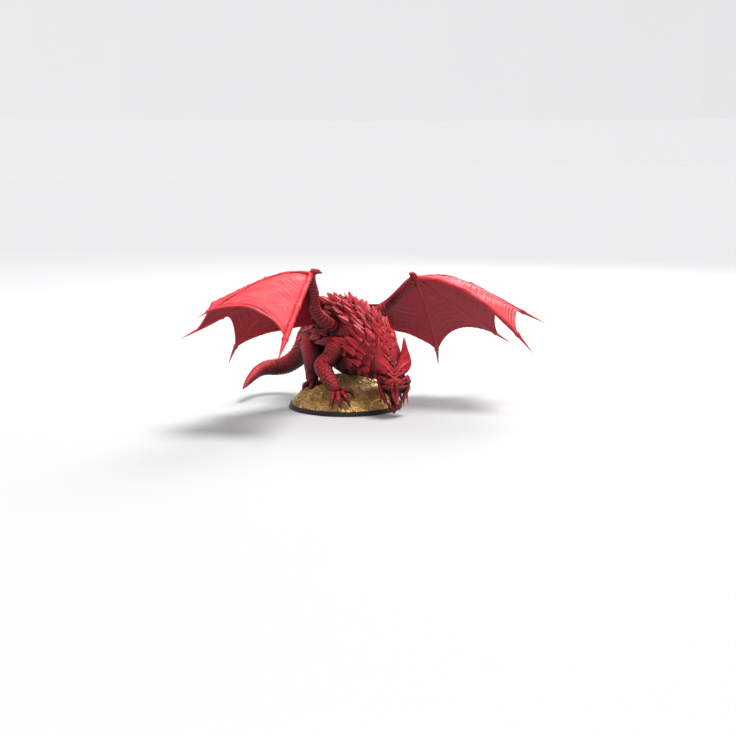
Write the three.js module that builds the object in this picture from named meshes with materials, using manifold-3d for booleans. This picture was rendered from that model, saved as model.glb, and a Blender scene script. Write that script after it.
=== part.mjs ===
// Crouching dragon: a large painted tabletop miniature on a 100 mm round base, as its moulded pieces.
// Millimetres, +Z up. The origin is the centre of the base's underside. The dragon faces -Y, so its left is +X.
// Both wings are push-fit: each has a keyed tenon that slides into a socket in the torso.
import * as THREE from "three";
import { mergeVertices } from "three/addons/utils/BufferGeometryUtils.js";
import Module from "manifold-3d";

const wasm = await Module();
wasm.setup();
const { Manifold, Mesh: SolidMesh } = wasm;

// ---------- Driving dimensions ----------

const FIT_GAP = 0.35; // clearance between neighbouring pieces
const LARGEST_CRUMB = 1; // cubic millimetres that a cut may leave beside a piece
const BASE = { radius: 50, topRadius: 48.6, height: 4, recessRadius: 47.4, recessDepth: 1.2 };
const MOUND = { radius: 47, dome: 15.5, tilt: 0.14, steepness: 4.4, hump: 4, humpAt: [4, 14], humpSpread: 16 };
const VIEW_TURN = THREE.MathUtils.degToRad(30); // the mound rises along this heading, and the head faces it
const TORSO_FLATTEN = { across: 0.94, upright: 1.12 };
const NECK_FLATTEN = { across: 0.95, upright: 1.3 };

// Centre lines as [x, y, z, radius], from the root of each piece to its end.
const TORSO = [[-3, 48, 57, 9], [-2, 39, 62, 16], [0, 22, 69, 20.5], [2, 3, 70, 21.5], [4, -12, 67, 20.5], [6, -22, 64, 17]];
const CHEST = [[0, 14, 51, 12], [-1, -4, 45, 14], [1, -16, 43.5, 13.5], [5, -27, 44.5, 10.5]]; // hangs below the torso
const NECK = [[7, -20, 61, 19], [9, -28, 56.5, 19.3], [12, -39, 49, 17], [14, -51, 41.5, 12]];
const TAIL_BASE = [[-3, 38, 58, 13], [-5.5, 52, 56, 12.3], [-6.5, 62, 46.5, 10.5], [-10.5, 72, 35, 8.4]];
const TAIL_TIP = [[-11, 72.4, 34.4, 8.2], [-18.7, 80, 27.4, 7.6], [-27.5, 83, 25.4, 6.9], [-37, 82, 25.8, 6.2],
  [-47.4, 78, 24.3, 5], [-58, 70, 20.8, 3.8], [-65.7, 64, 16.9, 2.5], [-72.6, 58, 13.1, 0.6]];

// Each leg: its limb, then the toes as [root, knuckle, tip], and the place of the pin under its foot.
const LEGS = {
  foreleg_right: {
    limb: [[-9, -12, 60, 8.5], [-16, -12, 54, 9], [-21, -10, 46, 8], [-28, -9, 40, 7.4], [-28, -18, 32, 6.6],
      [-26.5, -28, 23.5, 5], [-25.5, -32, 17.5, 4.6]],
    toes: [
      [[-28, -31, 18], [-32, -34, 13], [-33, -36, 5.8]],
      [[-25.5, -33, 18], [-28, -38.5, 13], [-27, -41.3, 5.6]],
      [[-23, -33, 18], [-20.5, -38.5, 14], [-18.2, -41.5, 7]],
      [[-22, -30, 18], [-14, -33, 19], [-10.5, -36, 12.5]],
    ],
    pin: [-24, -30],
  },
  foreleg_left: {
    limb: [[12, -6, 60, 8.5], [20, -7, 54, 9], [26, -6, 46, 8], [33, -5, 40, 7.4], [34, -14, 31, 6.6],
      [32.5, -22, 23.5, 5], [32, -26, 17.5, 4.6]],
    toes: [
      [[34.5, -25, 18], [39, -26, 14], [41, -26, 7.5]],
      [[32, -27, 18], [36, -32, 14], [37, -33.5, 7.5]],
      [[29.5, -27, 18], [29.5, -34, 14], [29, -37, 8]],
      [[28.5, -24, 18], [22, -27, 19], [18, -31, 14]],
    ],
    pin: [31, -24],
  },
  hind_leg_right: {
    limb: [[-8, 36, 58, 11], [-15, 30, 52, 12], [-22, 20, 41, 9.2], [-20, 24, 29, 6.6], [-25, 17, 21, 4.6]],
    toes: [
      [[-26, 16, 20.5], [-33, 15, 19], [-36.3, 13, 14.6]],
      [[-25.5, 14, 20.5], [-29, 9.5, 18.5], [-30.6, 8, 14.4]],
      [[-23, 14, 20.5], [-20, 9, 19.5], [-19, 6.5, 15.8]],
    ],
    pin: [-25, 16],
  },
  hind_leg_left: {
    limb: [[8, 36, 58, 11], [16, 31, 52, 12.5], [28, 20, 41, 9.2], [26, 30, 29, 6.2], [30, 23, 18.5, 5]],
    toes: [
      [[32, 24, 18], [39, 24, 17], [43, 22, 10.5]],
      [[31, 21, 18], [36, 15, 17], [38, 11, 12.5]],
      [[28, 21, 18], [28, 13, 18], [28, 8, 15]],
    ],
    pin: [30, 23],
  },
};
const LIMB_UP = [0, -1, 0.2];
const TOE_RADII = [3, 2.3, 0.4];
const TOE_UP = [0.3, 0.2, 1];
const PIN = { radius: 1.6, depth: 6 };

// Tenons as the place where each one starts, the point it runs towards, and its size.
const NECK_TENON = { from: [10, -36, 55], towards: [4, -14, 66], width: 9, height: 9, depth: 16 };
const TAIL_TENON = { from: [-5.2, 53, 54], towards: [-3, 38, 59], width: 7, height: 7, depth: 14 };
const TAIL_TIP_TENON = { from: [-14, 75.5, 31.5], towards: [-9, 69, 38.5], width: 3, height: 3, depth: 8 };
const LEG_TENON = { width: 5, height: 5, depth: 14 };
const HEAD_TENON = { from: [13.5, -56, 42], towards: [13.3, -48.2, 47.5], width: 6, height: 6, depth: 11 };
const WING_TENON = { width: 4.5, height: 4, depth: 16 };
const WING_TENON_START = 0.34; // as a fraction of the upper arm

// The head in its own frame: -Y forward, +X its left, the origin between the eyes.
const HEAD_AT = [13.5, -60, 38];
const HEAD_TURN = -VIEW_TURN;
const SKULL = [[0, 8, 4, 9.5], [0, 3, 1.5, 11.2], [0, -4, -2, 10], [0, -10, -5.5, 7], [0.4, -14.5, -8.5, 3.6]];
const JAW = [[0, 3, -9, 8.6], [0, -1, -17, 9.4], [0.3, -4, -24.5, 7], [0.9, -8, -33.5, 0.6]];
const MOUTH = [[0, -9, -12, 4.6], [0.2, -10.5, -18, 5], [0.6, -12, -25, 3]]; // hollowed out of the jaw's front
const TONGUE = [[0.5, -4, -13, 2.2], [0.7, -7.6, -18, 2.4], [1, -9.6, -23, 1.9], [1.2, -11.5, -27, 0.4]];
const HORN_THICKNESS = 2.6;
const HORN_LEAN = THREE.MathUtils.degToRad(5);
const HORN_AT = [5, -1.5, 1];

// Wing points. Each finger bows away from a straight line between the wrist and its tip: [outwards, backwards, upwards],
// and how much more of the bow lies in its outer half. Each web ends part of the way along the two fingers that it
// joins, and its free edge draws in by a scallop: [end, end, scallop]. The webs billow upwards between their fingers.
const WINGS = {
  right: {
    side: -1,
    shoulder: [-12, -8, 70],
    elbow: [-36, -14, 87],
    wrist: [-51, -33, 122],
    thumbTip: [-42, -37, 122],
    tips: [[-120, -112, 66], [-166, -68, 96], [-162, -22, 74], [-106, 13, 45]],
    bows: [[4, -7, 1.5, 0], [0, 0, 9.5, -0.8], [0, 0, 1, 0], [8, 0, 2, 1.2]],
    webs: [[0.77, 0.9, 0.105], [0.9, 0.86, 0.05], [0.67, 0.81, 0.04], [0.81, 1, 0.09]],
    webSag: 3,
    back: [-13, 14, 86],
    flank: [-19, 20, 72],
  },
  left: {
    side: 1,
    shoulder: [14, -3, 74],
    elbow: [37.5, -8, 88],
    wrist: [51, -33, 113.5],
    thumbTip: [42, -37, 118],
    tips: [[120, -112, 53], [166, -68, 71], [162, -22, 48], [106, 13, 27]],
    bows: [[0, 0, 16.5, 0], [0, 0, 10.8, -1.6], [0, 0, -1, 0], [3.5, 0, 0, 0.8]],
    webs: [[0.85, 0.81, 0.02], [0.81, 0.85, 0.1], [0.82, 0.82, 0.14], [0.8, 1, 0.11]],
    webSag: 9,
    back: [17, 14, 86],
    flank: [21, 20, 68],
  },
};
const WEB_BULGES = [4, 10, 4, 0];
const FINGER_RADII = [2.5, 2.1, 1.8, 1.9, 1.9, 0.4];
const ARM_RADII = [5, 5.2, 4.6, 4, 3.4];
const WEB_THICKNESS = 1.4;
const WEB_START = 0.15; // the webs begin this far along the fingers, outside the wrist

// ---------- Materials ----------

const redPlastic = new THREE.MeshStandardMaterial({ color: 0xb3212c, roughness: 0.55, metalness: 0 });
const redWeb = new THREE.MeshStandardMaterial({ color: 0xd92f3a, roughness: 0.6, metalness: 0, side: THREE.DoubleSide });
const goldPaint = new THREE.MeshStandardMaterial({ color: 0xc39334, roughness: 0.4, metalness: 0.75 });
const blackPlastic = new THREE.MeshStandardMaterial({ color: 0x161616, roughness: 0.6, metalness: 0 });

// ---------- Solids ----------

// A closed three.js geometry as a solid, with its faces turned outwards.
function solidOf(geometry) {
  const bare = new THREE.BufferGeometry().setAttribute("position", geometry.getAttribute("position"));
  if (geometry.index) bare.setIndex(geometry.index);
  const merged = mergeVertices(bare, 1e-4);
  const mesh = { numProp: 3, vertProperties: merged.attributes.position.array, triVerts: new Uint32Array(merged.index.array) };
  const made = new Manifold(new SolidMesh(mesh));
  if (made.volume() > 0) return made;
  for (let i = 0; i < mesh.triVerts.length; i += 3) {
    [mesh.triVerts[i], mesh.triVerts[i + 1]] = [mesh.triVerts[i + 1], mesh.triVerts[i]];
  }
  return new Manifold(new SolidMesh(mesh));
}

// A solid as an indexed three.js geometry. Crumbs that a cut leaves beside the main piece are dropped.
function geometryOf(solid, name) {
  const [main, ...crumbs] = solid.decompose().sort((a, b) => b.volume() - a.volume());
  const large = crumbs.filter((crumb) => crumb.volume() > LARGEST_CRUMB);
  if (large.length) throw new Error(`${name} is in ${large.length + 1} pieces`);
  const { vertProperties, triVerts } = main.getMesh();
  return new THREE.BufferGeometry()
    .setAttribute("position", new THREE.BufferAttribute(vertProperties, 3))
    .setIndex(new THREE.BufferAttribute(triVerts, 1));
}

const point = ([x, y, z]) => new THREE.Vector3(x, y, z);

// A tapered, bent limb: a lathe turned about its radii, then laid along a smooth curve through its points.
// Sections are widened across and upright by the two factors, relative to the given up direction.
function limb(line, { up = [0, 0, 1], sides = 10, steps = 10, grow = 0, across = 1, upright = 1 } = {}) {
  const curve = new THREE.CatmullRomCurve3(line.map(point));
  const radii = line.map((p) => p[3]);
  const radiusAt = (t) => {
    const at = Math.min(t * (radii.length - 1), radii.length - 1 - 1e-9);
    const i = Math.floor(at);
    return THREE.MathUtils.lerp(radii[i], radii[i + 1], at - i) + grow;
  };
  const profile = [new THREE.Vector2(0, 0)];
  for (let i = 0; i <= steps; i++) profile.push(new THREE.Vector2(radiusAt(i / steps), i / steps));
  profile.push(new THREE.Vector2(0, 1));
  const geometry = new THREE.LatheGeometry(profile, sides);
  const position = geometry.getAttribute("position");
  for (let i = 0; i < position.count; i++) {
    const t = position.getY(i);
    const along = curve.getTangent(t);
    const side = new THREE.Vector3().crossVectors(along, point(up)).normalize();
    const top = new THREE.Vector3().crossVectors(side, along);
    const at = curve.getPoint(t).addScaledVector(along, grow * (2 * t - 1));
    at.addScaledVector(side, position.getX(i) * across).addScaledVector(top, position.getZ(i) * upright);
    position.setXYZ(i, at.x, at.y, at.z);
  }
  return solidOf(geometry);
}

// A thin sheet of constant thickness over surface(u, v), which gives a point.
function sheet(surface, thickness, across, along) {
  const geometry = new THREE.BoxGeometry(1, 1, 1, across, along, 1);
  const position = geometry.getAttribute("position");
  const step = 0.01;
  for (let i = 0; i < position.count; i++) {
    const u = position.getX(i) + 0.5;
    const v = position.getY(i) + 0.5;
    const du = surface(u + step, v).sub(surface(u - step, v));
    const dv = surface(u, v + step).sub(surface(u, v - step));
    const normal = du.cross(dv).normalize();
    const at = surface(u, v).addScaledVector(normal, position.getZ(i) * thickness);
    position.setXYZ(i, at.x, at.y, at.z);
  }
  return solidOf(geometry);
}

// A box that runs from one point towards another: a tenon, or with grow, its socket.
function tenon({ from, towards, width, height, depth }, grow = 0) {
  const geometry = new THREE.BoxGeometry(width + 2 * grow, height + 2 * grow, depth + 2 * grow);
  const direction = point(towards).sub(point(from)).normalize();
  const turn = new THREE.Quaternion().setFromUnitVectors(new THREE.Vector3(0, 0, 1), direction);
  const centre = point(from).addScaledVector(direction, depth / 2);
  geometry.applyMatrix4(new THREE.Matrix4().compose(centre, turn, new THREE.Vector3(1, 1, 1)));
  return solidOf(geometry);
}

// An upright round pin, or with grow, its hole.
function uprightPin([x, y], low, high, grow = 0) {
  const geometry = new THREE.CylinderGeometry(PIN.radius + grow, PIN.radius + grow, high - low, 12);
  geometry.rotateX(Math.PI / 2);
  geometry.translate(x, y, (low + high) / 2);
  return solidOf(geometry);
}

const dragon = new THREE.Group();

// Adds a solid to the dragon as a named mesh.
function add(name, solid, material) {
  const mesh = new THREE.Mesh(geometryOf(solid, name), material);
  mesh.name = name;
  dragon.add(mesh);
}

// ---------- Base and treasure mound ----------

function baseDisc() {
  const { radius, topRadius, height, recessRadius, recessDepth } = BASE;
  const profile = [[0, 0], [radius, 0], [radius, 0.8], [topRadius, height], [recessRadius, height],
    [recessRadius, height - recessDepth], [0, height - recessDepth]];
  const geometry = new THREE.LatheGeometry(profile.map(([x, y]) => new THREE.Vector2(x, y)), 64);
  return solidOf(geometry.rotateX(Math.PI / 2));
}

// Height of the treasure mound's surface over a point of the base.
function moundHeight(x, y) {
  const reach = Math.min(Math.hypot(x, y) / MOUND.radius, 1);
  const fall = 1 - reach ** MOUND.steepness;
  const behind = x * Math.sin(VIEW_TURN) + y * Math.cos(VIEW_TURN);
  const [humpX, humpY] = MOUND.humpAt;
  const hump = MOUND.hump * Math.exp(-((x - humpX) ** 2 + (y - humpY) ** 2) / (2 * MOUND.humpSpread ** 2));
  return BASE.height - 0.4 + (MOUND.dome + MOUND.tilt * behind + hump) * fall;
}

function mound(grow = 0) {
  const floor = BASE.height - BASE.recessDepth + FIT_GAP;
  const reaches = [0, 0.25, 0.5, 0.68, 0.8, 0.88, 0.94, 0.98, 1];
  const profile = [...reaches].reverse().map((r) => new THREE.Vector2(r * MOUND.radius, 1));
  profile.unshift(new THREE.Vector2(0, 0), new THREE.Vector2(MOUND.radius, 0));
  const geometry = new THREE.LatheGeometry(profile, 40).rotateX(Math.PI / 2);
  const position = geometry.getAttribute("position");
  for (let i = 0; i < position.count; i++) {
    const upper = position.getZ(i) > 0.5;
    position.setZ(i, upper ? moundHeight(position.getX(i), position.getY(i)) + grow : floor);
  }
  return solidOf(geometry);
}

// ---------- Torso, neck and tail ----------

const torsoShape = { ...TORSO_FLATTEN, sides: 16, steps: 14 };
const neckShape = { ...NECK_FLATTEN, sides: 14, steps: 10 };
const tailShape = { sides: 12, steps: 9 };
const chestShape = { sides: 12, steps: 8 };
const torsoGrown = limb(TORSO, { ...torsoShape, grow: FIT_GAP }).add(limb(CHEST, { ...chestShape, grow: FIT_GAP }));
const neckGrown = limb(NECK, { ...neckShape, grow: FIT_GAP });
const tailGrown = limb(TAIL_BASE, { ...tailShape, grow: FIT_GAP });
let torso = limb(TORSO, torsoShape).add(limb(CHEST, chestShape));

// Cuts every one of the other solids from a solid.
function clearOf(solid, others) {
  return others.reduce((left, other) => left.subtract(other), solid);
}

// Trims a piece by its grown neighbours, then plugs it into the torso with a tenon, cutting the socket for it.
function plug(piece, neighbours, key) {
  torso = torso.subtract(tenon(key, FIT_GAP));
  return clearOf(piece, neighbours).add(tenon(key));
}

const neck = plug(limb(NECK, neckShape), [torsoGrown], NECK_TENON);
const tailBase = plug(limb(TAIL_BASE, tailShape), [torsoGrown], TAIL_TENON);
const tailTip = limb(TAIL_TIP, { sides: 10, steps: 12 }).subtract(tailGrown);

// ---------- Legs ----------

const moundGrown = mound(FIT_GAP);
let hoard = mound();

function leg({ limb: line, toes, pin }) {
  let whole = limb(line, { up: LIMB_UP, sides: 10, steps: 10 });
  for (const toe of toes) {
    const jointed = toe.map((p, i) => [...p, TOE_RADII[i]]);
    whole = whole.add(limb(jointed, { up: TOE_UP, sides: 7, steps: 4 }));
  }
  const low = moundHeight(...pin) - PIN.depth;
  const high = line.at(-1)[2];
  const foot = uprightPin(pin, low, high);
  hoard = hoard.subtract(uprightPin(pin, low - FIT_GAP, high, FIT_GAP));
  const [x, y, z] = line[0];
  const key = { ...LEG_TENON, from: line[1].slice(0, 3), towards: [Math.sign(x) * 2, y, z + 1] };
  return plug(whole, [torsoGrown, neckGrown, tailGrown, moundGrown], key).add(foot);
}

const legs = Object.entries(LEGS).map(([name, shape]) => [name, leg(shape)]);

// ---------- Head ----------

// A solid made in the head's frame, moved to the end of the neck.
function onHead(solid) {
  const turned = new THREE.Matrix4().makeRotationZ(HEAD_TURN).setPosition(...HEAD_AT);
  return solid.transform(turned.toArray());
}

// The broad ear-shaped horn of one side: a fan low down that narrows to a point, leaning back.
function horn(side) {
  const outline = new THREE.Shape();
  outline.moveTo(0, -4);
  outline.bezierCurveTo(5, -5, 9, -3, 10.4, 4);
  outline.bezierCurveTo(10.8, 11, 8, 17, 4.8, 25);
  outline.bezierCurveTo(3.6, 18, 3.6, 13, 2, 9);
  outline.lineTo(-1, 6);
  const geometry = new THREE.ExtrudeGeometry(outline, { depth: HORN_THICKNESS, bevelEnabled: false, curveSegments: 7 });
  geometry.rotateX(Math.PI / 2 - HORN_LEAN);
  if (side < 0) geometry.scale(-1, 1, 1);
  geometry.translate(side * HORN_AT[0], HORN_AT[1], HORN_AT[2]);
  return solidOf(geometry);
}

const skullShape = { sides: 12, steps: 9 };
const skullGrown = limb(SKULL, { ...skullShape, grow: FIT_GAP });
const hollowJaw = (grow) => limb(JAW, { sides: 12, steps: 8, grow }).subtract(limb(MOUTH, { sides: 8, steps: 5, grow: -grow }));
const hornRight = horn(-1).subtract(skullGrown);
const hornLeft = horn(1).subtract(skullGrown);
const skull = onHead(limb(SKULL, skullShape)).subtract(neckGrown).add(tenon(HEAD_TENON));
const jaw = onHead(hollowJaw(0).subtract(skullGrown)).subtract(neckGrown);
const tongue = onHead(limb(TONGUE, { sides: 8, steps: 5 }).subtract(skullGrown).subtract(hollowJaw(FIT_GAP)));

// ---------- Wings ----------

// A finger's curve from the wrist to its tip, bowed out most past its middle.
function fingerCurve({ side, wrist, tips, bows }, index) {
  const [outwards, backwards, upwards, late] = bows[index];
  const bow = new THREE.Vector3(side * outwards, backwards, upwards);
  const over = (t) => {
    const swell = 4 * t * (1 - t) * (1 + late * (t - 0.5));
    return point(wrist).lerp(point(tips[index]), t).addScaledVector(bow, swell);
  };
  return new THREE.CatmullRomCurve3([0, 0.2, 0.4, 0.6, 0.8, 1].map(over));
}

// The inner edge of the wing: from the wrist to the back, then down along the flank.
function innerCurve({ wrist, back, flank, webSag }) {
  const edge = point(wrist).lerp(point(back), 0.5).add(new THREE.Vector3(0, 0, -webSag));
  return new THREE.CatmullRomCurve3([point(wrist), edge, point(back), point(flank)]);
}

// The web between two curves that leave the wrist, kept clear of the finger on either side of it.
function web(first, second, [firstEnd, secondEnd, scallop], bulge, clear) {
  const surface = (u, v) => {
    const edge = THREE.MathUtils.lerp(firstEnd, secondEnd, u) - scallop * 4 * u * (1 - u);
    const t = WEB_START + v * (edge - WEB_START);
    const a = first.getPoint(t);
    const b = second.getPoint(t);
    const margin = clear / a.distanceTo(b);
    const at = a.lerp(b, margin + u * (1 - 2 * margin));
    at.z += bulge * 4 * u * (1 - u) * t;
    return at;
  };
  return sheet(surface, WEB_THICKNESS, 7, 7);
}

function asLine(curve, radii) {
  return radii.map((r, i) => {
    const p = curve.getPoint(i / (radii.length - 1));
    return [p.x, p.y, p.z, r];
  });
}

function addWing(label, wing) {
  const [shoulder, elbow, wrist, thumbTip] = [wing.shoulder, wing.elbow, wing.wrist, wing.thumbTip].map(point);
  const fingers = wing.tips.map((_, i) => fingerCurve(wing, i));
  const spars = fingers.map((curve) => limb(asLine(curve, FINGER_RADII), { sides: 8, steps: 9 }));
  const sparsGrown = fingers.map((curve) => limb(asLine(curve, FINGER_RADII), { sides: 8, steps: 9, grow: FIT_GAP }));
  const armLine = asLine(new THREE.CatmullRomCurve3([shoulder, elbow, elbow.clone().lerp(wrist, 0.5), wrist]), ARM_RADII);
  const armShape = { up: [0, -1, 0], sides: 10, steps: 10 };
  const armGrown = limb(armLine, { ...armShape, grow: FIT_GAP });

  const tenonStart = shoulder.clone().lerp(elbow, WING_TENON_START).toArray();
  const key = { ...WING_TENON, from: tenonStart, towards: wing.shoulder };
  add(`wing_${label}_arm`, plug(limb(armLine, armShape), [torsoGrown], key), redPlastic);

  const thumb = [[...wing.wrist, 2.6], [...wrist.clone().lerp(thumbTip, 0.5), 1.9], [...wing.thumbTip, 0.3]];
  add(`wing_${label}_thumb_claw`, clearOf(limb(thumb, { sides: 8, steps: 4 }), [armGrown, ...sparsGrown]), redPlastic);

  spars.forEach((spar, i) => {
    add(`wing_${label}_finger_${i + 1}`, clearOf(spar, [armGrown, ...sparsGrown.slice(0, i)]), redPlastic);
  });

  const edges = [...fingers, innerCurve(wing)];
  ["front", "outer", "rear", "inner"].forEach((name, i) => {
    const panel = web(edges[i], edges[i + 1], wing.webs[i], WEB_BULGES[i], FINGER_RADII[0] + FIT_GAP);
    add(`wing_${label}_web_${name}`, clearOf(panel, [torsoGrown, armGrown, ...sparsGrown]), redWeb);
  });
}

for (const [label, wing] of Object.entries(WINGS)) addWing(label, wing);

// ---------- Assembly ----------

add("base_disc", baseDisc(), blackPlastic);
add("hoard_mound", hoard, goldPaint);
add("torso", torso, redPlastic);
add("neck", neck.subtract(tenon(HEAD_TENON, FIT_GAP)), redPlastic);
add("tail_base", tailBase.subtract(tenon(TAIL_TIP_TENON, FIT_GAP)), redPlastic);
add("tail_tip", tailTip.add(tenon(TAIL_TIP_TENON)), redPlastic);
for (const [name, solid] of legs) add(name, solid, redPlastic);
add("head", skull, redPlastic);
add("lower_jaw", jaw, redPlastic);
add("tongue", tongue, redPlastic);
add("horn_right", onHead(hornRight).subtract(neckGrown), redPlastic);
add("horn_left", onHead(hornLeft).subtract(neckGrown), redPlastic);

export default dragon;
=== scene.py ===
# The dragon miniature's looks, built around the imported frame. Lengths are in millimetres until a mesh is
# made, and then in metres. The dragon faces -Y and stands on a round base whose underside is at z = 0.
import math

import bpy
import numpy as np
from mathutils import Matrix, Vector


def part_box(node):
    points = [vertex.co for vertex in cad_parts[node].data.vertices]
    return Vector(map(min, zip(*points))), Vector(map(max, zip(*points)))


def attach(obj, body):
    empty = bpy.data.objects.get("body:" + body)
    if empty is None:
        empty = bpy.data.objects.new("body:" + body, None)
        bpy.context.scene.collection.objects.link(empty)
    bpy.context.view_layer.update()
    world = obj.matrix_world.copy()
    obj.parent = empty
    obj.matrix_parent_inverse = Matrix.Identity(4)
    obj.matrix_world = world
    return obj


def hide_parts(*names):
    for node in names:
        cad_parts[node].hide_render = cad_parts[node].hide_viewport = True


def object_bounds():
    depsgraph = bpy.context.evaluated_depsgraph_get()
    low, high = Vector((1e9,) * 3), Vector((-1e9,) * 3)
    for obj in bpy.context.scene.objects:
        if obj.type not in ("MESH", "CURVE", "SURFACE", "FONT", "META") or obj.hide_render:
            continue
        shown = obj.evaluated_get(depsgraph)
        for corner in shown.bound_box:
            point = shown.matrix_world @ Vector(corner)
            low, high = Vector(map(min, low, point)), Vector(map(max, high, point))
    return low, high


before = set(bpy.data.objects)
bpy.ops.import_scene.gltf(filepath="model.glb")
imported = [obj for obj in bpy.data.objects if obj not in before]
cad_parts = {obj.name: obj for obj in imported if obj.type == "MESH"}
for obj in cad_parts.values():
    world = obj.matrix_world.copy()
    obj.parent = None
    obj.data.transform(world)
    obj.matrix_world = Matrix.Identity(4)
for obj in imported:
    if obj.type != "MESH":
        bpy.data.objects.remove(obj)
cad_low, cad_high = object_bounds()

import openvdb
from mathutils import Vector

MM = 0.001
rng = np.random.default_rng(7)

# ---------- Centre lines, close to those of the CAD solids: [x, y, z, radius] ----------

TORSO = [[-3, 48, 57, 9], [-2, 39, 62, 16], [0, 22, 69, 20.5], [2, 3, 70, 21.5], [4, -12, 67, 20.5],
    [7, -24, 63, 18]]
CHEST = [[0, 14, 51, 12], [-1, -4, 45, 14], [1, -16, 43.5, 13.5], [5, -27, 44.5, 10.5]]
NECK = [[3, -12, 64, 17], [7, -20, 61, 19], [9, -28, 56.5, 19.3], [12, -39, 49, 17], [14, -51, 41.5, 12],
    [14.5, -57, 37, 8.5]]
TAIL = [[-2, 34, 58, 13], [-5.5, 52, 56, 12.3], [-6.5, 62, 46.5, 10.5], [-10.5, 72, 35, 8.4],
    [-18.7, 80, 27.4, 7.6],
        [-27.5, 83, 25.4, 6.9], [-37, 82, 25.8, 6.2], [-47.4, 78, 24.3, 5], [-58, 70, 20.8, 3.8],
        [-65.7, 64, 16.9, 2.5],
        [-72.6, 58, 13.1, 0.6]]
LEGS = {
    "foreleg_right": {
        "limb": [[-9, -12, 60, 8.5], [-16, -12, 54, 8.6], [-21, -10, 46, 7.4], [-28, -9, 40, 6.9],
            [-28, -18, 32, 6.1],
                 [-26.5, -28, 23.5, 4.6], [-25.5, -31.5, 18.5, 4.0]],
        "toes": [[[-28, -30, 20], [-32, -34, 13.5], [-33, -36, 5.8]],
            [[-25.5, -32, 20], [-28, -38.5, 13.5], [-27, -41.3, 5.6]],
                 [[-23, -32, 20], [-20.5, -38.5, 14.5], [-18.2, -41.5, 7]],
                 [[-22, -30, 20], [-14, -33, 20], [-10.5, -36, 12.5]]],
    },
    "foreleg_left": {
        "limb": [[12, -6, 60, 8.5], [20, -7, 54, 8.6], [26, -6, 46, 7.4], [33, -5, 40, 6.9],
            [34, -14, 31, 6.1],
                 [32.5, -22, 23.5, 4.6], [32, -25.5, 18.5, 4.0]],
        "toes": [[[34.5, -25, 20], [39, -26, 14.5], [41, -26, 7.5]],
            [[32, -27, 20], [36, -32, 14.5], [37, -33.5, 7.5]],
                 [[29.5, -27, 20], [29.5, -34, 14.5], [29, -37, 8]],
                 [[28.5, -24, 20], [22, -27, 20], [18, -31, 14]]],
    },
    "hind_leg_right": {
        "limb": [[-8, 36, 58, 11], [-15, 30, 52, 11.6], [-22, 20, 41, 8.6], [-20, 24, 29, 6.0],
            [-25, 17, 21, 4.4]],
        "toes": [[[-26, 16, 21], [-33, 15, 19], [-36.3, 13, 14.6]],
            [[-25.5, 14, 21], [-29, 9.5, 18.5], [-30.6, 8, 14.4]],
                 [[-23, 14, 21], [-20, 9, 19.5], [-19, 6.5, 15.8]]],
    },
    "hind_leg_left": {
        "limb": [[8, 36, 58, 11], [16, 31, 52, 12], [28, 20, 41, 8.8], [26, 30, 29, 6.0],
            [30, 23, 19.5, 4.6]],
        "toes": [[[32, 24, 20], [39, 24, 17.5], [43, 22, 10.5]],
            [[31, 21, 20], [36, 15, 17.5], [38, 11, 12.5]],
                 [[28, 21, 20], [28, 13, 18.5], [28, 8, 15]]],
    },
}
WINGS = {
    "right": {
        "side": -1, "shoulder": [-12, -8, 70], "elbow": [-36, -14, 87], "wrist": [-51, -33, 122],
        "thumb": [-42, -37, 122], "tips": [[-120, -112, 66], [-166, -68, 96], [-162, -22, 74],
            [-106, 13, 45]],
        "bows": [[4, -7, 1.5, 0], [0, 0, 9.5, -0.8], [0, 0, 1, 0], [8, 0, 2, 1.2]],
        "webs": [[0.77, 0.9, 0.105], [0.9, 0.86, 0.05], [0.67, 0.81, 0.04], [0.81, 1, 0.09]],
        "sag": 3, "back": [-13, 14, 86], "flank": [-19, 20, 72],
    },
    "left": {
        "side": 1, "shoulder": [14, -3, 74], "elbow": [37.5, -8, 88], "wrist": [51, -33, 113.5],
        "thumb": [42, -37, 118], "tips": [[120, -112, 53], [166, -68, 71], [162, -22, 48], [106, 13, 27]],
        "bows": [[0, 0, 16.5, 0], [0, 0, 10.8, -1.6], [0, 0, -1, 0], [3.5, 0, 0, 0.8]],
        "webs": [[0.85, 0.81, 0.02], [0.81, 0.85, 0.1], [0.82, 0.82, 0.14], [0.8, 1, 0.11]],
        "sag": 9, "back": [17, 14, 86], "flank": [21, 20, 68],
    },
}
WEB_BULGES = (4, 11, 4, 0)
HEAD_AT = np.array([13.5, -60, 38])
HEAD_TURN = math.radians(-30)
HEAD_VOXEL = 0.38
# How far the round section of a body part is squeezed across and upright.
TORSO_FLATTEN = (0.94, 1.12)
NECK_FLATTEN = (0.92, 1.26)
ARM_CLEARANCE = 9.4  # how far plates keep from the middle of a wing's arm

# ---------- Curves and fields ----------


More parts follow.
